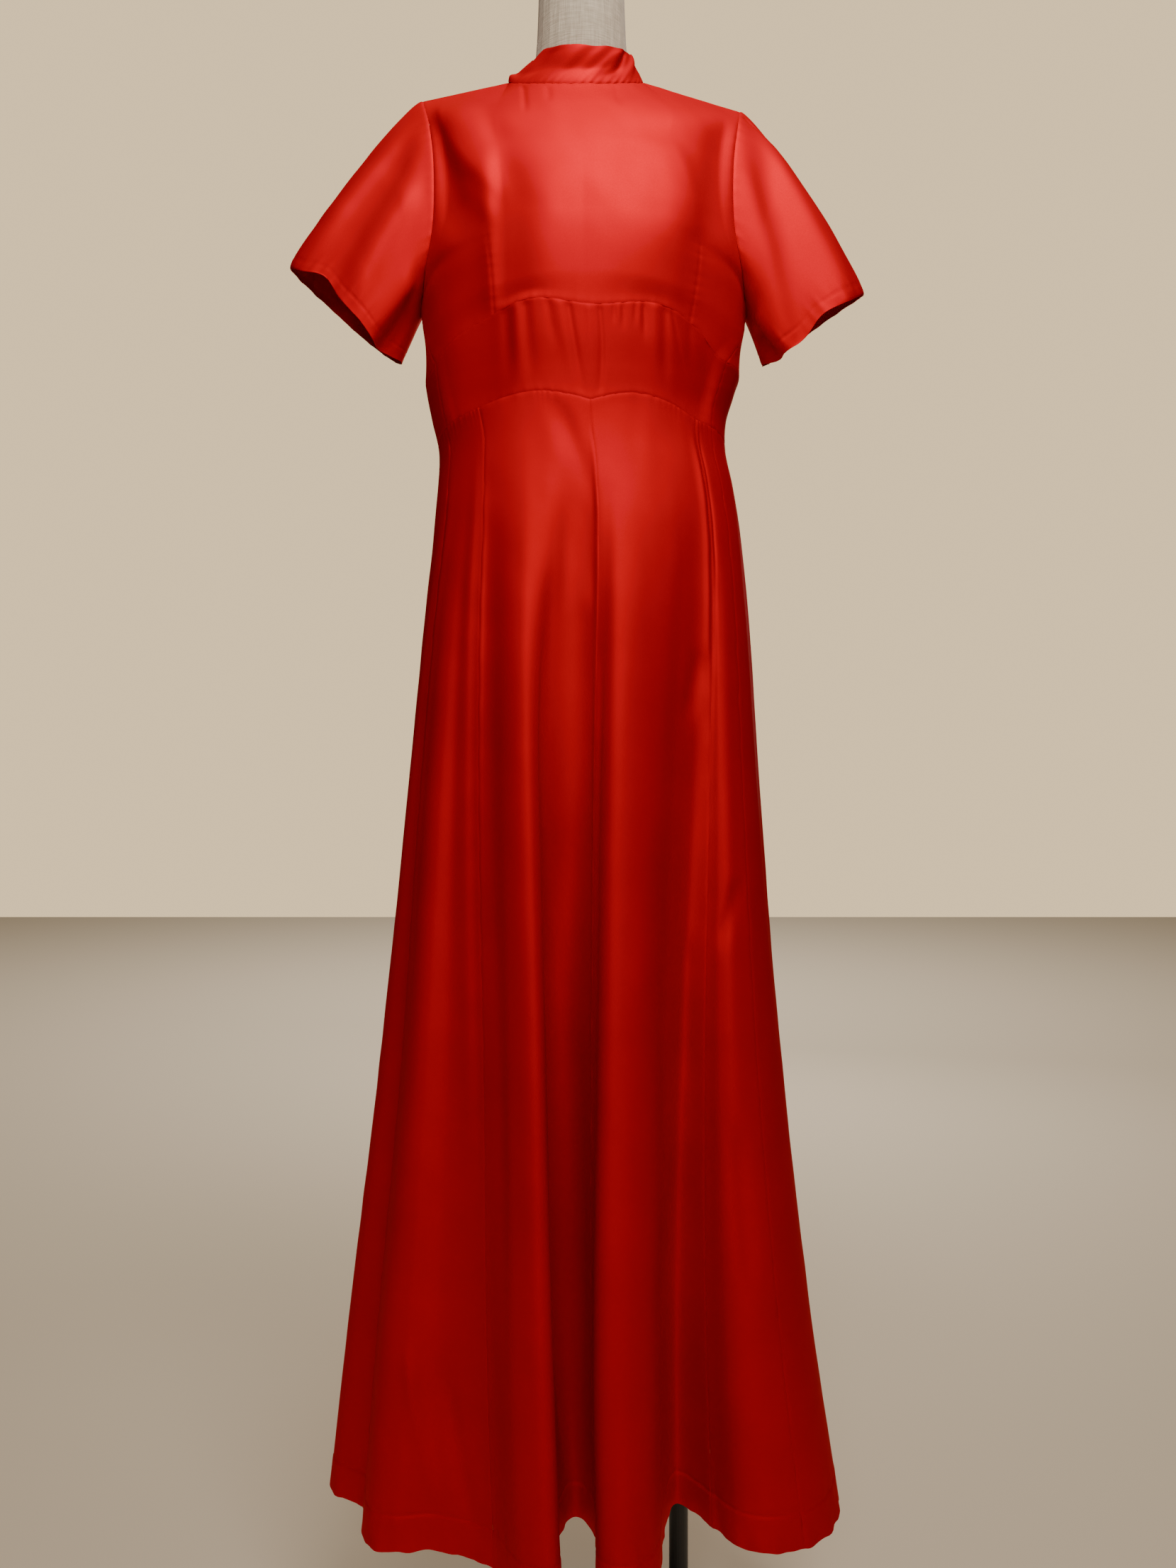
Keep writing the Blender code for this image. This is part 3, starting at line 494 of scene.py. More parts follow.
def cloth_piece(
    node, grid, relief, middle, cut, ring=False, thickness=CLOTH, edge=None
):
    """Adds a cloth piece: its points, its relief, and its cut as width at either end and length.

    The edge moves single points afterwards, for hems and rims that hang unevenly.
    """
    relief = relief + slack(*np.moveaxis(grid, -1, 0))
    room = DEEPEST + FREE_ROOM * smooth((FORM_UNDERSIDE - grid[..., 2]) / ROOM_OPENS)
    relief = np.where(relief < 0, room * np.tanh(relief / room), relief)
    grid = grid + normals_of(grid, middle, ring) * relief[..., None]
    normal = normals_of(grid, middle, ring)
    if edge is not None:
        grid = grid + edge
    mesh = shell_mesh(node, grid, grid - normal * thickness, ring)
    facing = np.cross(grid[1, 1] - grid[1, 0], grid[1, 0] - grid[0, 0])
    if (facing * normal[1, 1]).sum() > 0:
        mesh.flip_normals()
    mesh.shade_smooth()
    mesh.set_sharp_from_angle(angle=math.radians(SHARP_ANGLE))
    corners = (grid[1:, 1:] - grid[:-1, :-1], grid[1:, :-1] - grid[:-1, 1:])
    area = float(np.linalg.norm(np.cross(*corners), axis=-1).sum() / 2)
    if ring:
        area *= grid.shape[1] / (grid.shape[1] - 1)
    piece = bpy.data.objects.new(f"{node}_cloth", mesh)
    COLLECTION.objects.link(piece)
    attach(piece, "dress_on_form")
    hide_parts(node)
    start, end, length = cut
    made[node] = piece
    share = area / ((start + end) / 2 * length)
    print(f"{piece.name}: {len(mesh.polygons) * 2} triangles, {area:.3f} m2, {share:.2f} of its cut")


def edged(first, last, count):
    """Evenly spaced numbers with a few close ones at both ends, where the seams need them."""
    close = np.array((0.0, 0.004, 0.009, 0.017, 0.028))
    shares = np.concatenate([close, np.linspace(0.04, 0.96, count), 1 - close[::-1]])
    return mix(first, last, shares)


# %% [markdown]
# ## Bodice front
#
# The front is one piece with a bust dart on each side. It is pulled tight over the bust and hangs free
# beside it, so a soft fold runs from each shoulder point to the bust, with a hollow between it and the
# armhole. The left one is deeper, because the dress sits a little askew. The darts are seams that end in
# the cloth: a fine groove that fades out at its point, with a small dimple there.

# %% Creases of the bodice front
# Columns: x and height at the start and at the end, bow, width to each side, height of the crease
FRONT_CREASES = (
    (-0.168, 1.842, -0.07, 1.67, -0.015, 0.015, 0.036, 0.006),
    (-0.17, 1.82, -0.118, 1.63, -0.01, 0.02, 0.016, -0.0085),
    (-0.1134, 1.83, -0.064, 1.66, 0.0, 0.012, 0.016, -0.002),
    (-0.09, 1.75, -0.084, 1.52, 0.004, 0.012, 0.03, -0.0075),
    (-0.106, 1.71, -0.098, 1.54, 0.0, 0.011, 0.009, 0.0026),
    (0.086, 1.77, 0.124, 1.6, 0.013, 0.036, 0.014, 0.0022),
    (0.172, 1.82, 0.136, 1.61, -0.005, 0.02, 0.02, -0.0055),
    (0.038, 1.75, 0.098, 1.635, 0.0, 0.026, 0.024, -0.0018),
    (-0.068, 1.85, -0.062, 1.785, 0.0, 0.003, 0.004, -0.0012),
    (-0.04, 1.842, -0.036, 1.8, 0.0, 0.004, 0.004, -0.0008),
    (0.036, 1.842, 0.041, 1.795, 0.0, 0.004, 0.005, -0.0008),
)
# Columns: x and height at the point, x and height at the seam
DARTS = ((-0.1069, 1.6560, -0.0975, 1.5600), (0.1310, 1.6480, 0.1190, 1.5600))
# Columns: x, width to -X, width to +X, lowest height, highest height, depth
SIDE_HOLLOWS = (
    (-0.112, 0.032, 0.03, 1.43, 1.71, 0.0085),
    (0.13, 0.026, 0.03, 1.43, 1.69, 0.005),
)
HOLLOW_FADE = 0.060
BODICE_CALM = (0.020, 0.020, 0.010, 0.016)  # creases fade out this near the left, right, lower, upper seam
PUCKER = 0.00020


def side_hollow(x, z):
    """Depth of the hollows beside the bust, which run on from the bodice over the band."""
    total = 0
    for middle, before, after, lowest, highest, depth in SIDE_HOLLOWS:
        off = x - middle
        fade = smooth((z - lowest) / HOLLOW_FADE) * smooth((highest - z) / HOLLOW_FADE)
        total = total - ridge(off, depth * fade, np.where(off < 0, before, after))
    return total


def dart(x, z, row):
    """Groove of a dart with the dimple at its point and the ripples along it."""
    tip_x, tip_z, foot_x, foot_z = row
    share = (z - tip_z) / (foot_z - tip_z)
    off = np.abs(x - mix(tip_x, foot_x, share) - 0.002 * np.sin(math.pi * share))
    on = smooth(share / 0.12) * (share < 1.3)
    groove = ridge(off, -0.0008, 0.0014) * on
    ripples = pucker(z, off, spacing=0.011, reach=0.006, height=0.0004, shift=tip_x * 30) * on
    dimple = ridge(np.hypot(x - tip_x, z - tip_z), -0.0012, 0.010)
    return groove + ripples + dimple


# %% Build the bodice front
columns = edged(-1, 1, 236)
rows = mix(0, TOP, edged(0, 1, 112))
bodice_grid = bodice(columns[None, :], rows[:, None], True)
x, z = bodice_grid[..., 0], bodice_grid[..., 2]
edges = edge_runs(bodice_grid)
relief = creases(x, z, 1.0, 1.0, FRONT_CREASES) * calm(edges, BODICE_CALM)
relief += sum(dart(x, z, row) for row in DARTS) + side_hollow(x, z) * calm(edges, BODICE_CALM[:2])
relief += sewn(edges, z, x, spacing=0.016, reach=0.006, heights=(PUCKER,) * 4, shift=1.0)
CHEST = np.array((0, 0, 1.65))
cloth_piece("bodice_front", bodice_grid, relief, CHEST, (0.36, 0.42, 0.29))

# %% [markdown]
# ## Bodice back
#
# The back hangs from the shoulder blades. It isn't seen in the photograph, so it gets the creases that such
# a back has: a soft fold from each shoulder blade to the side and a shallow hollow beside the zip.

# %% Creases of the bodice back
BACK_CREASES = (
    (-0.15, 1.8, -0.09, 1.58, 0.01, 0.02, 0.03, 0.0028),
    (-0.162, 1.76, -0.138, 1.56, 0.0, 0.015, 0.015, -0.0035),
    (-0.042, 1.72, -0.03, 1.54, 0.0, 0.014, 0.018, -0.0022),
    (0.146, 1.79, 0.098, 1.57, -0.008, 0.03, 0.018, 0.0025),
    (0.16, 1.75, 0.14, 1.55, 0.0, 0.015, 0.015, -0.0032),
    (0.036, 1.7, 0.05, 1.55, 0.0, 0.016, 0.014, -0.002),
    (0.07, 1.82, 0.09, 1.68, 0.0, 0.015, 0.015, -0.0012),
)
ZIP_PUCKER = 0.0006

for node, first, last in (("bodice_back_left", -1, 0), ("bodice_back_right", 0, 1)):
    columns = edged(first, last, 96)
    rows = mix(0, TOP, edged(0, 1, 84))
    # the middle line belongs to both halves, so each one stays a hair on its own side of it
    columns = np.clip(columns, -1, -1e-6) if last == 0 else np.clip(columns, 1e-6, 1)
    grid = bodice(columns, rows[:, None], False)
    x, z = grid[..., 0], grid[..., 2]
    edges = edge_runs(grid)
    relief = creases(x, z, 1.0, 1.0, BACK_CREASES) * calm(edges, BODICE_CALM)
    heights = (*((PUCKER, ZIP_PUCKER) if last == 0 else (ZIP_PUCKER, PUCKER)), PUCKER, PUCKER)
    relief += sewn(edges, z, x, spacing=0.017, reach=0.008, heights=heights, shift=2.0)
    cloth_piece(node, grid, relief, CHEST, (0.21, 0.24, 0.32))

# %% [markdown]
# ## Midriff band
#
# The band is cut with two arched edges, and its upper edge is eased into the bodice seam with small
# gathers. Each gather is a short valley that starts at the seam; a few run on down to the lower seam. Their
# places are uneven, so they are set one by one.

# %% Gathers of the band
# Columns: x at the upper seam, x at the lower end, share of the band's depth it runs, bow, half width, depth
GATHERS = (
    (-0.0837, -0.0785, 1.05, 0.0, 0.008, -0.0017),
    (-0.072, -0.07, 0.8, 0.0, 0.007, 0.0008),
    (-0.061, -0.054, 1.1, 0.0, 0.0075, -0.0013),
    (-0.0375, -0.0285, 0.6, 0.0, 0.005, -0.0007),
    (-0.026, -0.011, 0.9, 0.0, 0.006, 0.0006),
    (-0.0155, 0.004, 1.2, 0.0, 0.0048, -0.0012),
    (0.006, 0.009, 1.0, 0.002, 0.005, 0.0006),
    (0.0177, 0.0139, 1.25, 0.005, 0.0036, -0.0012),
    (0.0329, 0.034, 0.26, 0.0, 0.0026, -0.0006),
    (0.0382, 0.039, 0.3, 0.0, 0.0026, 0.0004),
    (0.0435, 0.044, 0.34, 0.0, 0.0028, -0.0007),
    (0.0563, 0.056, 0.3, 0.0, 0.0024, -0.0006),
    (0.0605, 0.061, 0.36, 0.0, 0.0024, 0.0004),
    (0.0654, 0.067, 0.48, 0.0, 0.0027, -0.001),
    (0.077, 0.08, 0.9, 0.0, 0.007, 0.0009),
    (0.0889, 0.0905, 1.05, 0.0, 0.0062, -0.0015),
    (0.0965, 0.113, 0.7, 0.0, 0.0036, -0.0008),
    (0.1185, 0.12, 0.6, 0.0, 0.005, -0.0009),
    (0.14, 0.138, 1.1, 0.0, 0.009, -0.0015),
)
# Columns: x, depth
BACK_GATHERS = (
    (-0.13, -0.0026), (-0.075, 0.002), (-0.04, -0.0022), (0.05, -0.002), (0.085, 0.002), (0.128, -0.003),
)
BAND_CALM, BAND_PUCKER = 0.012, 0.00018
EASED = 0.35  # share of a gather's depth that is left in the upper seam itself


def gather(x, down, row):
    """Valley or ridge from the band's upper seam, where down is 0, toward the lower seam, where it is 1."""
    top_x, low_x, length, bow, width, height = row
    share = down / length
    path = mix(top_x, low_x, share) + bow * 4 * share * (1 - share)
    fade = smooth((1 - share) / 0.6) * (share < 1)
    return ridge(x - path, height * fade, width * (0.75 + 0.5 * share))


# %% Build the band
WAIST_MIDDLE = np.array((0, 0, 1.5))
BANDS = (
    ("midriff_front", SIDE_LEFT, SIDE_RIGHT, 236, (0.31, 0.36, 0.115)),
    ("midriff_back_right", SIDE_RIGHT, 180, 80, (0.24, 0.25, 0.078)),
    ("midriff_back_left", 180, 360 + SIDE_LEFT, 80, (0.24, 0.25, 0.078)),
)
for node, first, last, count, cut in BANDS:
    angles = edged(first, last, count)[None, :]
    down = edged(0, 1, 44)[:, None]
    height = mix(underbust(angles), waist(angles), down)
    grid = figure(height, angles + 0 * height)
    left, right, top, low = edge_runs(grid)
    x = grid[..., 0]
    in_front = node == "midriff_front"
    table = GATHERS if in_front else [(c, c * 0.97, 1.1, 0.0, 0.010, depth) for c, depth in BACK_GATHERS]
    relief = sum(gather(x, down, row) for row in table)
    relief = relief * calm((left, right, low + 0.002), (BAND_CALM,) * 3)
    relief *= mix(EASED, 1, smooth(top / 0.006))
    if in_front:
        relief += side_hollow(x, height) * calm((left, right), BODICE_CALM[:2])
    edges, along, heights = (left, right, low, top), run(grid, 1), (BAND_PUCKER,) * 4
    relief = relief + sewn(edges, height, along, spacing=0.014, reach=0.005, heights=heights, shift=0.4)
    cloth_piece(node, grid, relief, WAIST_MIDDLE, cut)

# %% [markdown]
# ## Skirt gores
#
# Eight gores hang from the band. Their deep folds grow toward the hem and are in the form. On top of them
# come the softer creases near the waist, a drawn-in line along each seam, and the hem: the cloth is turned
# up by about 38 mm inside and stitched, so a fine line with puckers runs around the skirt and the lower
# edge is thicker and a little wavy. The stitched line needs the hem's rows closer together.

# %% Gore table and creases
# The gores in order around the skirt. First row: cut width at the waist, at the hem, cut length. The others
# are creases: share across and share of the length at the start and at the end, bow, widths, height
GORES = {
    "skirt_front_side_left": (
        (0.052, 0.22, 1.27),
        (0.86, 0.0, 0.93, 0.75, 0.0, 0.008, 0.005, 0.0022),
        (0.5, 0.05, 0.55, 0.8, 0.0, 0.016, 0.016, 0.002),
        (0.16, 0.02, 0.18, 0.6, 0.0, 0.006, 0.01, 0.002),
        (0.6, 0.82, 0.8, 0.97, 0.0, 0.007, 0.009, 0.003),
        (0.82, 0.84, 0.93, 0.99, 0.0, 0.006, 0.006, -0.0026),
    ),
    "skirt_front_centre_left": (
        (0.127, 0.285, 1.27),
        (0.07, 0.02, 0.14, 0.9, 0.0, 0.01, 0.012, -0.0035),
        (0.28, 0.0, 0.46, 1.2, 0.0, 0.022, 0.012, 0.006),
        (0.66, 0.0, 0.97, 0.13, 0.05, 0.016, 0.014, -0.003),
        (0.8, 0.08, 0.99, 0.21, 0.03, 0.015, 0.012, -0.0024),
        (0.74, 0.05, 0.8, 0.52, 0.02, 0.018, 0.022, -0.008),
        (0.58, 0.14, 0.8, 1.05, 0.0, 0.018, 0.034, -0.032),
        (0.7, 0.4, 0.86, 0.62, 0.02, 0.012, 0.012, 0.0018),
        (0.88, 0.18, 0.62, 0.27, 0.0, 0.01, 0.014, -0.0032),
    ),
    "skirt_front_centre_right": (
        (0.128, 0.38, 1.27),
        (0.18, 0.0, 0.18, 1.2, 0.0, 0.016, 0.022, 0.0054),
        (0.05, 0.2, 0.06, 0.6, 0.0, 0.005, 0.005, -0.0016),
        (0.5, 0.1, 0.6, 0.7, 0.0, 0.022, 0.026, -0.004),
        (0.8, 0.22, 0.84, 0.6, 0.0, 0.014, 0.014, 0.002),
        (0.94, 0.0, 0.965, 0.26, 0.0, 0.006, 0.003, 0.0026),
        (0.84, 0.46, 0.88, 0.62, 0.0, 0.012, 0.012, -0.003),
        (0.9, 0.21, 0.72, 0.29, 0.0, 0.01, 0.014, -0.0032),
    ),
    "skirt_front_side_right": (
        (0.026, 0.12, 1.27),
        (0.2, 0.0, 0.16, 0.16, 0.0, 0.003, 0.004, -0.0016),
        (0.55, 0.04, 0.6, 0.7, 0.0, 0.01, 0.01, 0.0018),
        (0.62, 0.62, 0.7, 0.8, 0.0, 0.012, 0.012, -0.003),
        (0.85, 0.41, 0.25, 0.48, 0.0, 0.008, 0.01, -0.003),
    ),
    "skirt_back_side_right": (
        (0.12, 0.345, 1.26),
        (0.3, 0.02, 0.3, 0.6, 0.0, 0.018, 0.02, -0.003),
        (0.62, 0.04, 0.66, 0.7, 0.0, 0.022, 0.018, 0.0034),
    ),
    "skirt_back_centre_right": (
        (0.131, 0.28, 1.25),
        (0.3, 0.02, 0.34, 0.6, 0.0, 0.02, 0.02, 0.0034),
        (0.72, 0.03, 0.7, 0.5, 0.0, 0.014, 0.018, -0.0032),
    ),
    "skirt_back_centre_left": (
        (0.134, 0.29, 1.25),
        (0.26, 0.02, 0.24, 0.5, 0.0, 0.016, 0.014, -0.003),
        (0.66, 0.04, 0.6, 0.65, 0.0, 0.02, 0.022, 0.0036),
    ),
    "skirt_back_side_left": (
        (0.114, 0.365, 1.26),
        (0.34, 0.02, 0.38, 0.6, 0.0, 0.02, 0.02, 0.0034),
        (0.7, 0.04, 0.74, 0.55, 0.0, 0.016, 0.016, -0.003),
    ),
}
SKIRT_LENGTH = 1.22
TURN_UP, HEM_THICKNESS, TURN_UP_STEP = 0.038, 0.0011, 0.0005
STITCH_DEPTH, STITCH_WIDTH = 0.0007, 0.0016
HEM_WAVE, HEM_SAG, GORE_PUCKER = 0.0015, 0.0010, 0.0005
FINE_ROWS = 0.044  # over this height above the hem the rows are closer together
HEM_POINTS = 1201

# %% Build the gores
seam_rows = [[row[0] for row in HEM_PLAN].index(angle) for angle in GORE_SEAMS] + [len(HEM_PLAN)]
hem_positions = np.linspace(0, len(HEM_PLAN), HEM_POINTS)
hem_length = run(skirt(hem_positions[None, :], np.ones((1, HEM_POINTS))), 1)[0]
print("hem, along its folds:", round(float(hem_length[-1]), 2), "m")
u = edged(0, 1, 54)[None, :]
waist_shares = [0, 0.0010, 0.0022, 0.004, 0.007]
hem_shares = 1 - np.linspace(FINE_ROWS, 0, 26) / SKIRT_LENGTH
shares = np.concatenate([waist_shares, np.linspace(0.011, hem_shares[0] - 0.006, 116), hem_shares])
share_down = shares[:, None] + 0 * u
above_hem = (1 - share_down) * SKIRT_LENGTH
stitched = np.abs(above_hem - TURN_UP)
turned_up = smooth((TURN_UP - above_hem) / 0.002)[..., None]
for (node, (cut, *rows)), first, last in zip(GORES.items(), seam_rows, seam_rows[1:]):
    grid = skirt(mix(first, last, u) + 0 * share_down, share_down)
    left, right, top, _ = edge_runs(grid)
    width = run(grid, 1)[:, -1:]
    across = np.interp(mix(first, last, u), hem_positions, hem_length)
    relief = creases(u, share_down, width, SKIRT_LENGTH, rows)
    relief *= calm((left, right, top), (0.006, 0.006, 0.012))
    z, heights = grid[..., 2], (GORE_PUCKER,) * 2
    relief += sewn((left, right), z, None, spacing=0.055, reach=0.010, heights=heights, shift=first * 0.7)
    relief += seam(top) + pucker(across, top, spacing=0.030, reach=0.006, height=0.0003, shift=1.0)
    drawn = 0.55 + 0.45 * np.sin(across * 31)  # the thread draws the hem in more at some places
    relief += TURN_UP_STEP * smooth((TURN_UP - above_hem) / 0.003)
    relief += ridge(stitched, -STITCH_DEPTH, STITCH_WIDTH)
    relief += pucker(across, stitched, spacing=0.026, reach=0.016, height=0.0010, shift=2.0) * drawn
    relief += HEM_WAVE * uneven(across, 0.040, 1.0) * smooth(1 - above_hem / 0.030)
    lower = np.zeros_like(grid)
    lower[..., 2] = HEM_SAG * uneven(across, 0.034, 0.5) * smooth(1 - above_hem / 0.012)
    thickness = mix(CLOTH, HEM_THICKNESS, turned_up)
    middle = np.array((0, 0.02, 0)) + grid * np.array((0, 0, 1))
    cloth_piece(node, grid, relief, middle, cut, thickness=thickness, edge=lower)
    print(f"  waist {width[0, 0]:.3f} m, hem {width[-1, 0]:.3f} m along the fold")

# %% [markdown]
# ## Sleeves
#
# The sleeves are set in with a little ease at the cap, which shows as a few short ripples below the shoulder
# seam. They stand out from the figure and open wide, so the inside shows, and their narrow hems are
# stitched close to the edge. The cuffs don't hang in one plane: their front edges sag and lift unevenly.

# %% Creases of the sleeves
# Columns: share around and share of the length at the start and at the end, bow, widths, height
SLEEVE_CREASES = {
    "left": (
        (0.38, 0.03, 0.27, 1.3, 0.0, 0.02, 0.026, -0.008),
        (0.44, 0.02, 0.37, 1.0, 0.0, 0.016, 0.02, 0.003),
        (0.28, 0.05, 0.2, 1.05, 0.01, 0.016, 0.018, 0.004),
        (0.115, 0.15, 0.155, 1.45, 0.0, 0.008, 0.022, 0.004),
        (0.07, 0.15, 0.095, 1.45, 0.0, 0.018, 0.012, -0.0085),
        (0.64, 0.03, 0.72, 1.1, 0.0, 0.022, 0.022, -0.0055),
        (0.84, 0.1, 0.86, 1.1, 0.0, 0.018, 0.018, -0.004),
    ),
    "right": (
        (0.37, 0.02, 0.11, 1.4, 0.0, 0.022, 0.022, -0.0085),
        (0.46, 0.0, 0.42, 0.9, 0.0, 0.014, 0.014, 0.0028),
        (0.44, 0.05, 0.3, 1.3, 0.0, 0.016, 0.018, 0.0044),
        (0.05, 0.35, 0.16, 1.45, 0.0, 0.01, 0.022, 0.0036),
        (0.015, 0.35, 0.11, 1.45, 0.0, 0.016, 0.011, -0.0085),
        (0.47, -0.02, 0.45, 0.22, 0.0, 0.004, 0.005, -0.0022),
        (0.66, 0.03, 0.7, 1.1, 0.0, 0.022, 0.022, -0.0055),
        (0.85, 0.1, 0.88, 1.1, 0.0, 0.018, 0.018, -0.004),
    ),
}
SLEEVE_LENGTH, SLEEVE_COLUMNS = 0.2, 200
CUFF_TURN_UP, CUFF_WAVE = 0.013, 0.0006
CUFF_STITCH_DEPTH, CUFF_STITCH_WIDTH = 0.0004, 0.0014
# Columns: share of the way around, how far the cuff hangs below its plane on the left, on the right
CUFF_DROP = (
    (0.0, 0.0, 0.0), (0.0625, 0.005, 0.0078), (0.125, 0.01, 0.011), (0.1875, 0.0035, 0.0095),
    (0.25, -0.001, 0.003), (0.3125, -0.008, 0.005), (0.375, 0.002, 0.006), (0.4375, 0.004, 0.005),
    (0.5, 0.003, 0.002), (0.625, 0.0, -0.006), (0.75, 0.0, -0.008), (0.875, 0.0, -0.004), (1.0, 0.0, 0.0),
)

# %% Build the sleeves
for side, (sign, outer_corner, inner_corner) in SLEEVES.items():
    node = f"sleeve_{side}"
    turns = np.arange(SLEEVE_COLUMNS)[None, :] / SLEEVE_COLUMNS
    shares = edged(0, 1, 74)[:, None]
    grid = sleeve(side, turns, shares)
    down = run(grid, 0)
    length = down[-1:]
    around = run(np.concatenate([grid, grid[:, :1]], axis=1), 1)
    around, girth = around[:, :-1], around[:, -1:]
    relief = creases(turns, shares, girth, SLEEVE_LENGTH, SLEEVE_CREASES[side]) * smooth(down / 0.015)
    relief += seam(down) + pucker(around, down, spacing=0.016, reach=0.010, height=0.0003, shift=1.3)
    from_cuff = length - down
    stitched = np.abs(from_cuff - CUFF_TURN_UP)
    relief += pucker(around, stitched, spacing=0.014, reach=0.008, height=0.0005, shift=0.6)
    relief += ridge(stitched, -CUFF_STITCH_DEPTH, CUFF_STITCH_WIDTH)
    relief += CUFF_WAVE * uneven(around, 0.026, 2.0) * smooth(1 - from_cuff / 0.012)
    middle = grid.mean(axis=1, keepdims=True)
    chord = outer_corner - inner_corner
    downward = sign * np.array((chord[2], 0, -chord[0])) / np.linalg.norm(chord)
    drop = follow(CUFF_DROP, turns, 1 if sign < 0 else 2) * smooth((shares - 0.5) / 0.5)
    edge, cut = drop[..., None] * downward, (0.40, 0.36, 0.21)
    cloth_piece(node, grid, relief, middle, cut, ring=True, edge=edge)
    print(f"  armhole {girth[0, 0]:.3f} m, cuff {girth[-1, 0]:.3f} m, longest {length.max():.3f} m")

# %% [markdown]
# ## Stand collar
#
# The collar is a soft doubled band on the bias. Its top edge dips in front, where it leans out from the
# neck a little, and it slumps at the left side, where it rolls over into a small bulge above its seam.
# Diagonal pull lines run across it, as bias strips have. It is open by a hair at the middle of the back.

# %% Sizes of the collar
# Columns: share of its height, half width, reach to the front, reach to the back, middle x
COLLAR = (
    (0.0, 0.0775, 0.056, 0.056, -0.0075),
    (0.45, 0.068, 0.058, 0.057, -0.005),
    (1.0, 0.056, 0.055, 0.056, -0.001),
)
COLLAR_HEIGHT, COLLAR_THICKNESS, COLLAR_SLIT = 0.0450, 0.0018, 1.2
SIDE_DROP, COLLAR_WAVE, EDGE_WAVE = 0.020, 0.0016, 0.0009
METRES_PER_DEGREE = 0.0012  # along the collar, near enough for the width of its creases
FRONT_LEAN, FRONT_ANGLE, FRONT_HALF_ANGLE = 0.0090, 2, 46
# Columns: angle, rise of the top edge
TOP_LINE = (
    (-180, 0.0), (-75, 0.0), (-58, 0.0), (-43, -0.001), (-28, -0.004), (-10, -0.0075), (5, -0.0085),
    (18, -0.0065), (41, 0.0002), (71, 0.0075), (100, 0.006), (145, 0.0), (180, 0.0),
)
BULGE_ANGLE, BULGE_SHARE, BULGE_HEIGHT = -88, 0.16, 0.0050
# Columns: angle and share of the height at the start and at the end, bow, widths, height
COLLAR_CREASES = (
    (-20, 1.05, -62, 0.1, 0.0, 0.009, 0.01, -0.002),
    (-46, 1.1, -84, 0.25, 0.0, 0.007, 0.007, 0.0014),
    (18, 1.1, -22, 0.05, 0.0, 0.01, 0.012, -0.001),
    (60, 1.05, 34, 0.2, 0.0, 0.004, 0.005, -0.0022),
    (48, 0.95, 26, 0.2, 0.0, 0.005, 0.006, 0.0014),
    (120, 1.05, 150, 0.1, 0.0, 0.006, 0.006, -0.0018),
    (-130, 1.05, -160, 0.1, 0.0, 0.007, 0.006, -0.002),
)


def collar(angle, share):
    turn = np.radians(angle)
    base = neckline(angle)
    forward = np.cos(turn)
    reach = np.where(forward > 0, follow(COLLAR, share, 2), follow(COLLAR, share, 3))
    x = follow(COLLAR, share, 4) + follow(COLLAR, share, 1) * np.sin(turn)
    y = NECKLINE_MIDDLE[1] - reach * forward
    return places(x, y, base[..., 2] + share * (COLLAR_HEIGHT - SIDE_DROP * np.sin(turn) ** 2))


# %% Build the collar
angles = np.linspace(-180 + COLLAR_SLIT / 2, 180 - COLLAR_SLIT / 2, 241)[None, :]
shares = edged(0, 1, 34)[:, None]
grid = collar(angles + 0 * shares, shares + 0 * angles)
around, above_seam = run(grid, 1), shares * COLLAR_HEIGHT
relief = creases(angles, shares, METRES_PER_DEGREE, COLLAR_HEIGHT, COLLAR_CREASES)
relief += seam(above_seam) + pucker(around, above_seam, spacing=0.010, reach=0.006, height=0.0005, shift=0.4)
relief += COLLAR_WAVE * uneven(around, 0.045, 0.8) * smooth(shares / 0.6)
bulge = ((angles - BULGE_ANGLE) / 16) ** 2 + ((shares - BULGE_SHARE) / 0.16) ** 2
relief += BULGE_HEIGHT * np.exp(-bulge)
in_front = np.exp(-(((angles - FRONT_ANGLE) / FRONT_HALF_ANGLE) ** 4))
lean = FRONT_LEAN * smooth((shares - 0.40) / 0.60) - ridge(shares - 0.36, 0.0010, 0.20)
relief += in_front * lean
top_wave = np.zeros_like(grid)
top_wave[..., 2] = (EDGE_WAVE * uneven(around, 0.060, 1.7) + follow(TOP_LINE, angles, 1)) * smooth(shares)
NECK_MIDDLE, cut = np.array((0, 0, 1.88)), (0.44, 0.40, 0.046)
cloth_piece(
    "collar", grid, relief, NECK_MIDDLE, cut,
    thickness=COLLAR_THICKNESS, edge=top_wave,
)

# %% [markdown]
# ## Materials
#
# Each material is named for what the real one is. Colours are given as hex values as a screen shows them and
# one function turns them linear, as the shader needs them. One function adds a node with its settings and
# links, so each tree reads as a list, and short ones on top of it add noise, a ramp and the shader.


# %% Material helpers
def linear(code):
    """Linear colour of an sRGB hex value."""
    values = [int(code[i : i + 2], 16) / 255 for i in (1, 3, 5)]
    return tuple(v / 12.92 if v <= 0.04045 else ((v + 0.055) / 1.055) ** 2.4 for v in values)


def add(tree, kind, sockets=None, **settings):
    """Adds a node: settings are its own, and each socket takes a value or another node's output."""
    node = tree.nodes.new(kind)
    for name, value in settings.items():
        setattr(node, name, value)
    for name, value in (sockets or {}).items():
        if isinstance(value, bpy.types.NodeSocket):
            tree.links.new(value, node.inputs[name])
        else:
            node.inputs[name].default_value = value
    return node


def new_material(name):
    material = bpy.data.materials.new(name)
    material.use_nodes = True
    material.node_tree.nodes.clear()
    return material, material.node_tree


def own_places(tree):
    return add(tree, "ShaderNodeTexCoord").outputs["Object"]


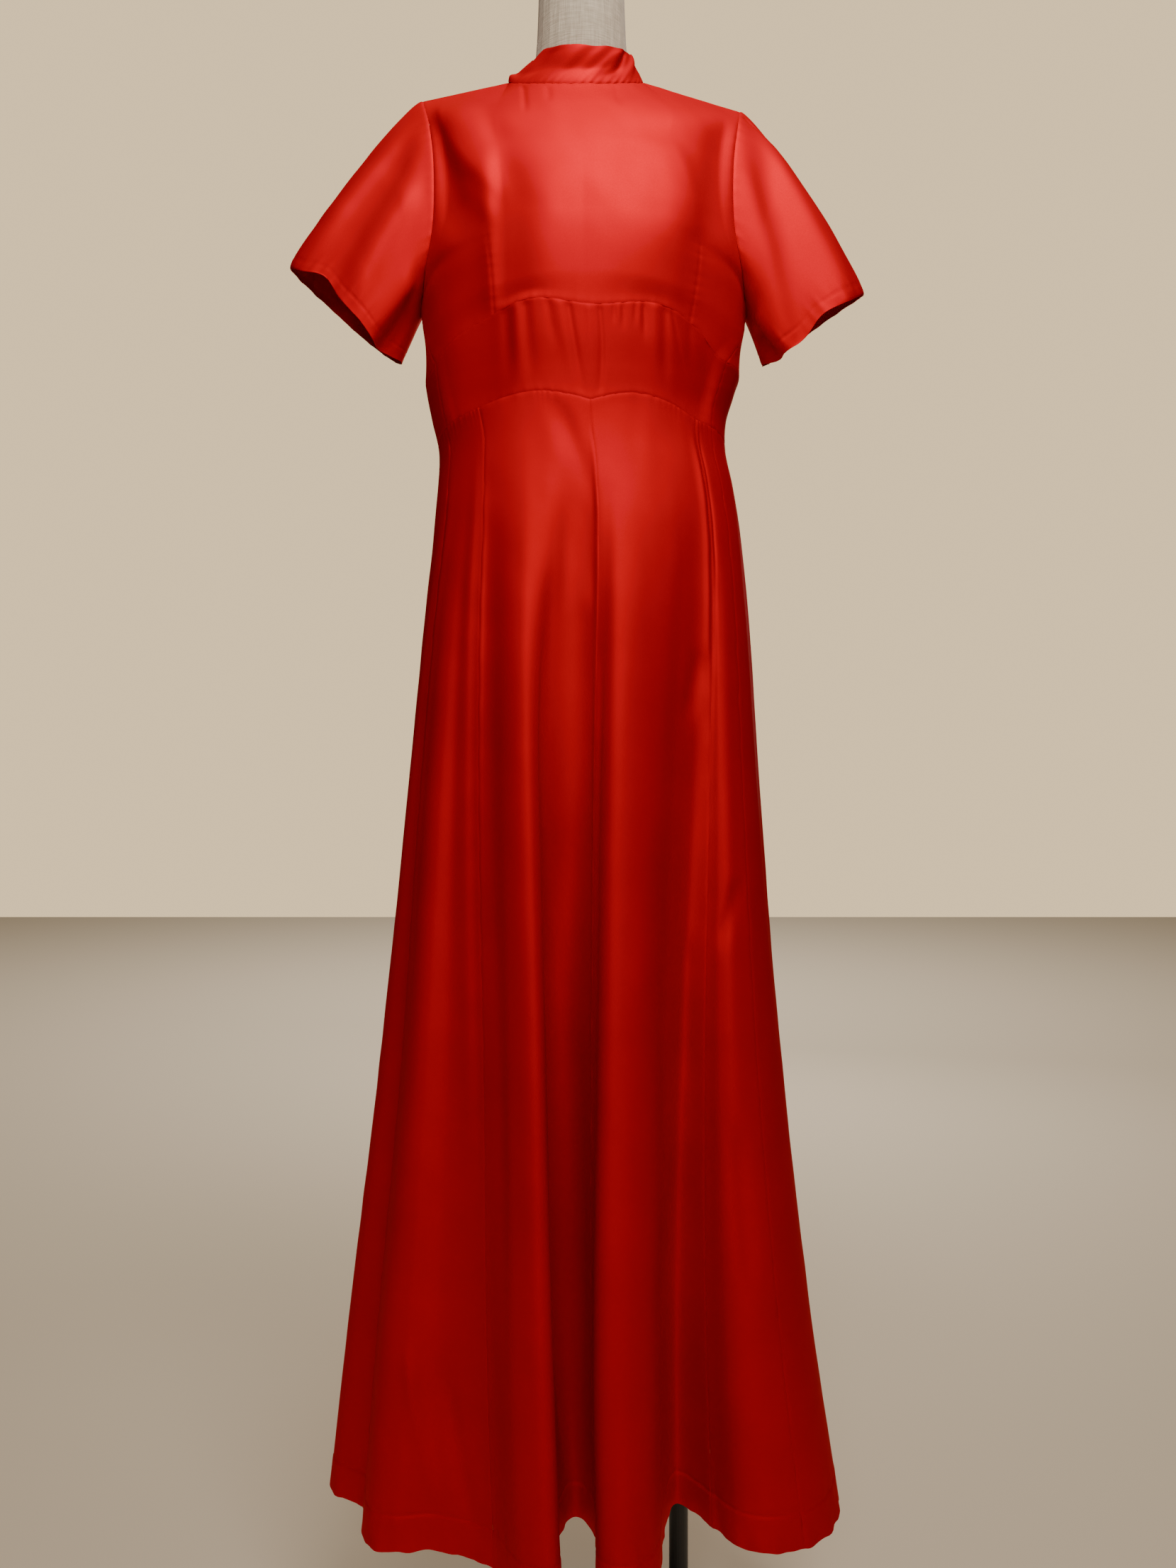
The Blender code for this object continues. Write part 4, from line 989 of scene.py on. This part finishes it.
def noise(tree, vector, scale, detail):
    sockets = {"Vector": vector, "Scale": scale, "Detail": detail}
    return add(tree, "ShaderNodeTexNoise", sockets).outputs["Fac"]


def ramp(tree, factor, first, last, positions=(0, 1)):
    """Colour between two hex values."""
    node = add(tree, "ShaderNodeValToRGB", {"Fac": factor})
    for stop, code, position in zip(node.color_ramp.elements, (first, last), positions):
        stop.position, stop.color = position, (*linear(code), 1)
    return node.outputs["Color"]


def principled(tree, sockets):
    """The shader and the material's output."""
    shader = add(tree, "ShaderNodeBsdfPrincipled", sockets)
    add(tree, "ShaderNodeOutputMaterial", {"Surface": shader.outputs["BSDF"]})


# %% [markdown]
# ### Polyester satin
#
# Satin floats its warp threads over several others, so the face is smooth and reflects in one broad, soft
# streak along the folds. The light goes into the dyed threads before it comes back, so the gloss is as red
# as the cloth: a metallic share of 0.6 and a red tint give that, and make surfaces that turn aside dark.
# Polyester satin of this kind is fairly matt, so its roughness is near 0.64, and a fine bump breaks the
# highlight up. The real threads are about 0.15 mm apart, too fine for the picture, so the grain is drawn at
# 1.5 mm. The tone varies a little over a hand's width, as pressed cloth does.

# %% Satin
GRAIN_MM, HAND_MM = 1.5, 90
satin, tree = new_material("polyester_satin")
own = own_places(tree)
grain = noise(tree, own, 1000 / GRAIN_MM, 2.0)
tone = ramp(tree, noise(tree, own, 1000 / HAND_MM, 3.0), "#C80C1E", "#D00E22", (0.30, 0.72))
fine = add(tree, "ShaderNodeBump", {"Height": grain, "Strength": 0.10, "Distance": 0.0002})
rough = add(tree, "ShaderNodeMapRange", {"Value": grain, "To Min": 0.60, "To Max": 0.68})
principled(
    tree,
    {
        "Base Color": tone,
        "Roughness": rough.outputs["Result"],
        "Normal": fine.outputs["Normal"],
        "IOR": 1.5,
        "Metallic": 0.60,
        "Specular IOR Level": 0.08,
        "Specular Tint": (*linear("#E8606A"), 1),
    },
)
for piece in made.values():
    piece.data.materials.append(satin)
print("satin on", len(made), "pieces")

# %% [markdown]
# ### Linen of the form
#
# The form is covered in plain woven linen. The yarns are thick and thin, so single threads show as pale and
# dark lines. Real yarns are about 0.6 mm apart; they are drawn at 1.4 mm, and long noise along each
# direction gives the slubs.

# %% Linen
YARNS_PER_METRE = 1000 / 1.4
linen, tree = new_material("plain_woven_linen")
own = own_places(tree)
lying = add(tree, "ShaderNodeMapping", {"Vector": own, "Scale": (60, 60, YARNS_PER_METRE)})
upright = add(tree, "ShaderNodeMapping", {"Vector": own, "Scale": (YARNS_PER_METRE, YARNS_PER_METRE, 45)})
weft, warp = (noise(tree, stretched.outputs["Vector"], 1.0, 3.0) for stretched in (lying, upright))
yarns = add(tree, "ShaderNodeMath", {0: weft, 1: warp}, operation="ADD")
spread = add(tree, "ShaderNodeMapRange", {"Value": yarns.outputs["Value"], "From Min": 0.7, "From Max": 1.3})
height = spread.outputs["Result"]
bump = add(tree, "ShaderNodeBump", {"Height": height, "Strength": 0.5, "Distance": 0.0005})
principled(
    tree,
    {
        "Base Color": ramp(tree, height, "#9A8F80", "#BDB3A4"),
        "Roughness": 0.9,
        "Normal": bump.outputs["Normal"],
        "Sheen Weight": 0.2,
    },
)

# %% [markdown]
# ### Powder-coated steel and lacquered zinc
#
# The pole, its flange and the base are black powder-coated steel, with the faint orange-peel of the baked
# powder, about 2 mm wide. The zip's slider and tab are cast zinc under red lacquer, glossier than the cloth.

# %% Powder coat and lacquer
PEEL_MM = 2.0
coat, tree = new_material("black_powder_coat")
peel = noise(tree, own_places(tree), 1000 / PEEL_MM, 1.0)
bump = add(tree, "ShaderNodeBump", {"Height": peel, "Strength": 0.25, "Distance": 0.0004}).outputs["Normal"]
principled(tree, {"Base Color": (*linear("#141414"), 1), "Roughness": 0.42, "Normal": bump})

lacquer, tree = new_material("red_lacquered_zinc")
wear = noise(tree, own_places(tree), 900.0, 2.0)
rough = add(tree, "ShaderNodeMapRange", {"Value": wear, "To Min": 0.22, "To Max": 0.38}).outputs["Result"]
principled(tree, {"Base Color": (*linear("#A50F12"), 1), "Roughness": rough, "Coat Weight": 0.4})

# %% Finishes of the carried-over solids
FINISHES = {
    "form_torso": linen,
    "form_flange": coat,
    "form_pole": coat,
    "form_base": coat,
    "zip_slider": lacquer,
    "zip_tab": lacquer,
}
for node, material in FINISHES.items():
    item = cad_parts[node]
    if not item.data.materials:
        item.data.materials.append(material)
    for place in item.material_slots:
        place.material = material
print("finished solids:", len(FINISHES))

# %% [markdown]
# ## Floor and light
#
# The floor is plain and pale, and the backdrop is a plain warm tone. The photograph is lit from a ceiling a
# little in front of the dress: chest and shoulders are bright and the skirt gets darker toward the hem. A
# soft light above the front does that, because it is nearest to the chest. A second one near the camera
# fills the skirt, a weak one behind keeps the back from going black, and one that faces away from the dress
# lights the floor behind it. The sky is dim at the sides and brighter overhead, as a white ceiling is.

# %% Floor, sky and lights
FLOOR_HALF = 8.0
floor_mesh = bpy.data.meshes.new("floor")
corners = [(FLOOR_HALF * x, FLOOR_HALF * y, 0) for x, y in ((-1, -1), (1, -1), (1, 1), (-1, 1))]
floor_mesh.from_pydata(corners, [], [(0, 1, 2, 3)])
floor = bpy.data.objects.new("floor", floor_mesh)
COLLECTION.objects.link(floor)
floor_paint, tree = new_material("pale_matt_floor")
principled(tree, {"Base Color": (*linear("#DCD2C2"), 1), "Roughness": 0.8})
floor_mesh.materials.append(floor_paint)

AMBIENT, OVERHEAD, BACKDROP = 0.030, 0.60, 1.35  # at the sides, overhead and as the camera sees it
world = bpy.data.worlds.new("studio")
bpy.context.scene.world = world
world.use_nodes = True
tree = world.node_tree
background = tree.nodes["Background"]
background.inputs["Color"].default_value = (*linear("#ECD1A4"), 1)
aim = add(tree, "ShaderNodeTexCoord").outputs["Generated"]
upward = add(tree, "ShaderNodeSeparateXYZ", {"Vector": aim}).outputs["Z"]
ceiling = {"Value": upward, "From Min": 0.70, "From Max": 0.90, "To Min": AMBIENT, "To Max": OVERHEAD}
sky = add(tree, "ShaderNodeMapRange", ceiling).outputs["Result"]
sight = add(tree, "ShaderNodeLightPath").outputs["Is Camera Ray"]
glow = add(tree, "ShaderNodeMapRange", {"Value": sight, "To Min": sky, "To Max": BACKDROP})
tree.links.new(glow.outputs["Result"], background.inputs["Strength"])


def soft_light(name, place, target, size, power):
    """Square area light at a place, facing a target."""
    light = bpy.data.lights.new(name, "AREA")
    light.size = size
    light.energy = power
    light.color = linear("#FFF4E6")
    item = bpy.data.objects.new(name, light)
    item.location = place
    item.rotation_euler = (Vector(target) - Vector(place)).to_track_quat("-Z", "Y").to_euler()
    COLLECTION.objects.link(item)


soft_light("high_front", (0.20, -0.82, 2.66), (0.0, 0.0, 1.30), 0.5, 22)
soft_light("front_fill", (-0.15, -2.7, 2.0), (0.0, 0.0, 1.1), 0.8, 24)
soft_light("behind", (0.7, 2.8, 1.9), (0.0, 0.0, 1.0), 1.8, 20)
soft_light("backdrop", (0.0, 3.4, 4.8), (0.0, 8.8, 0.0), 2.5, 300)
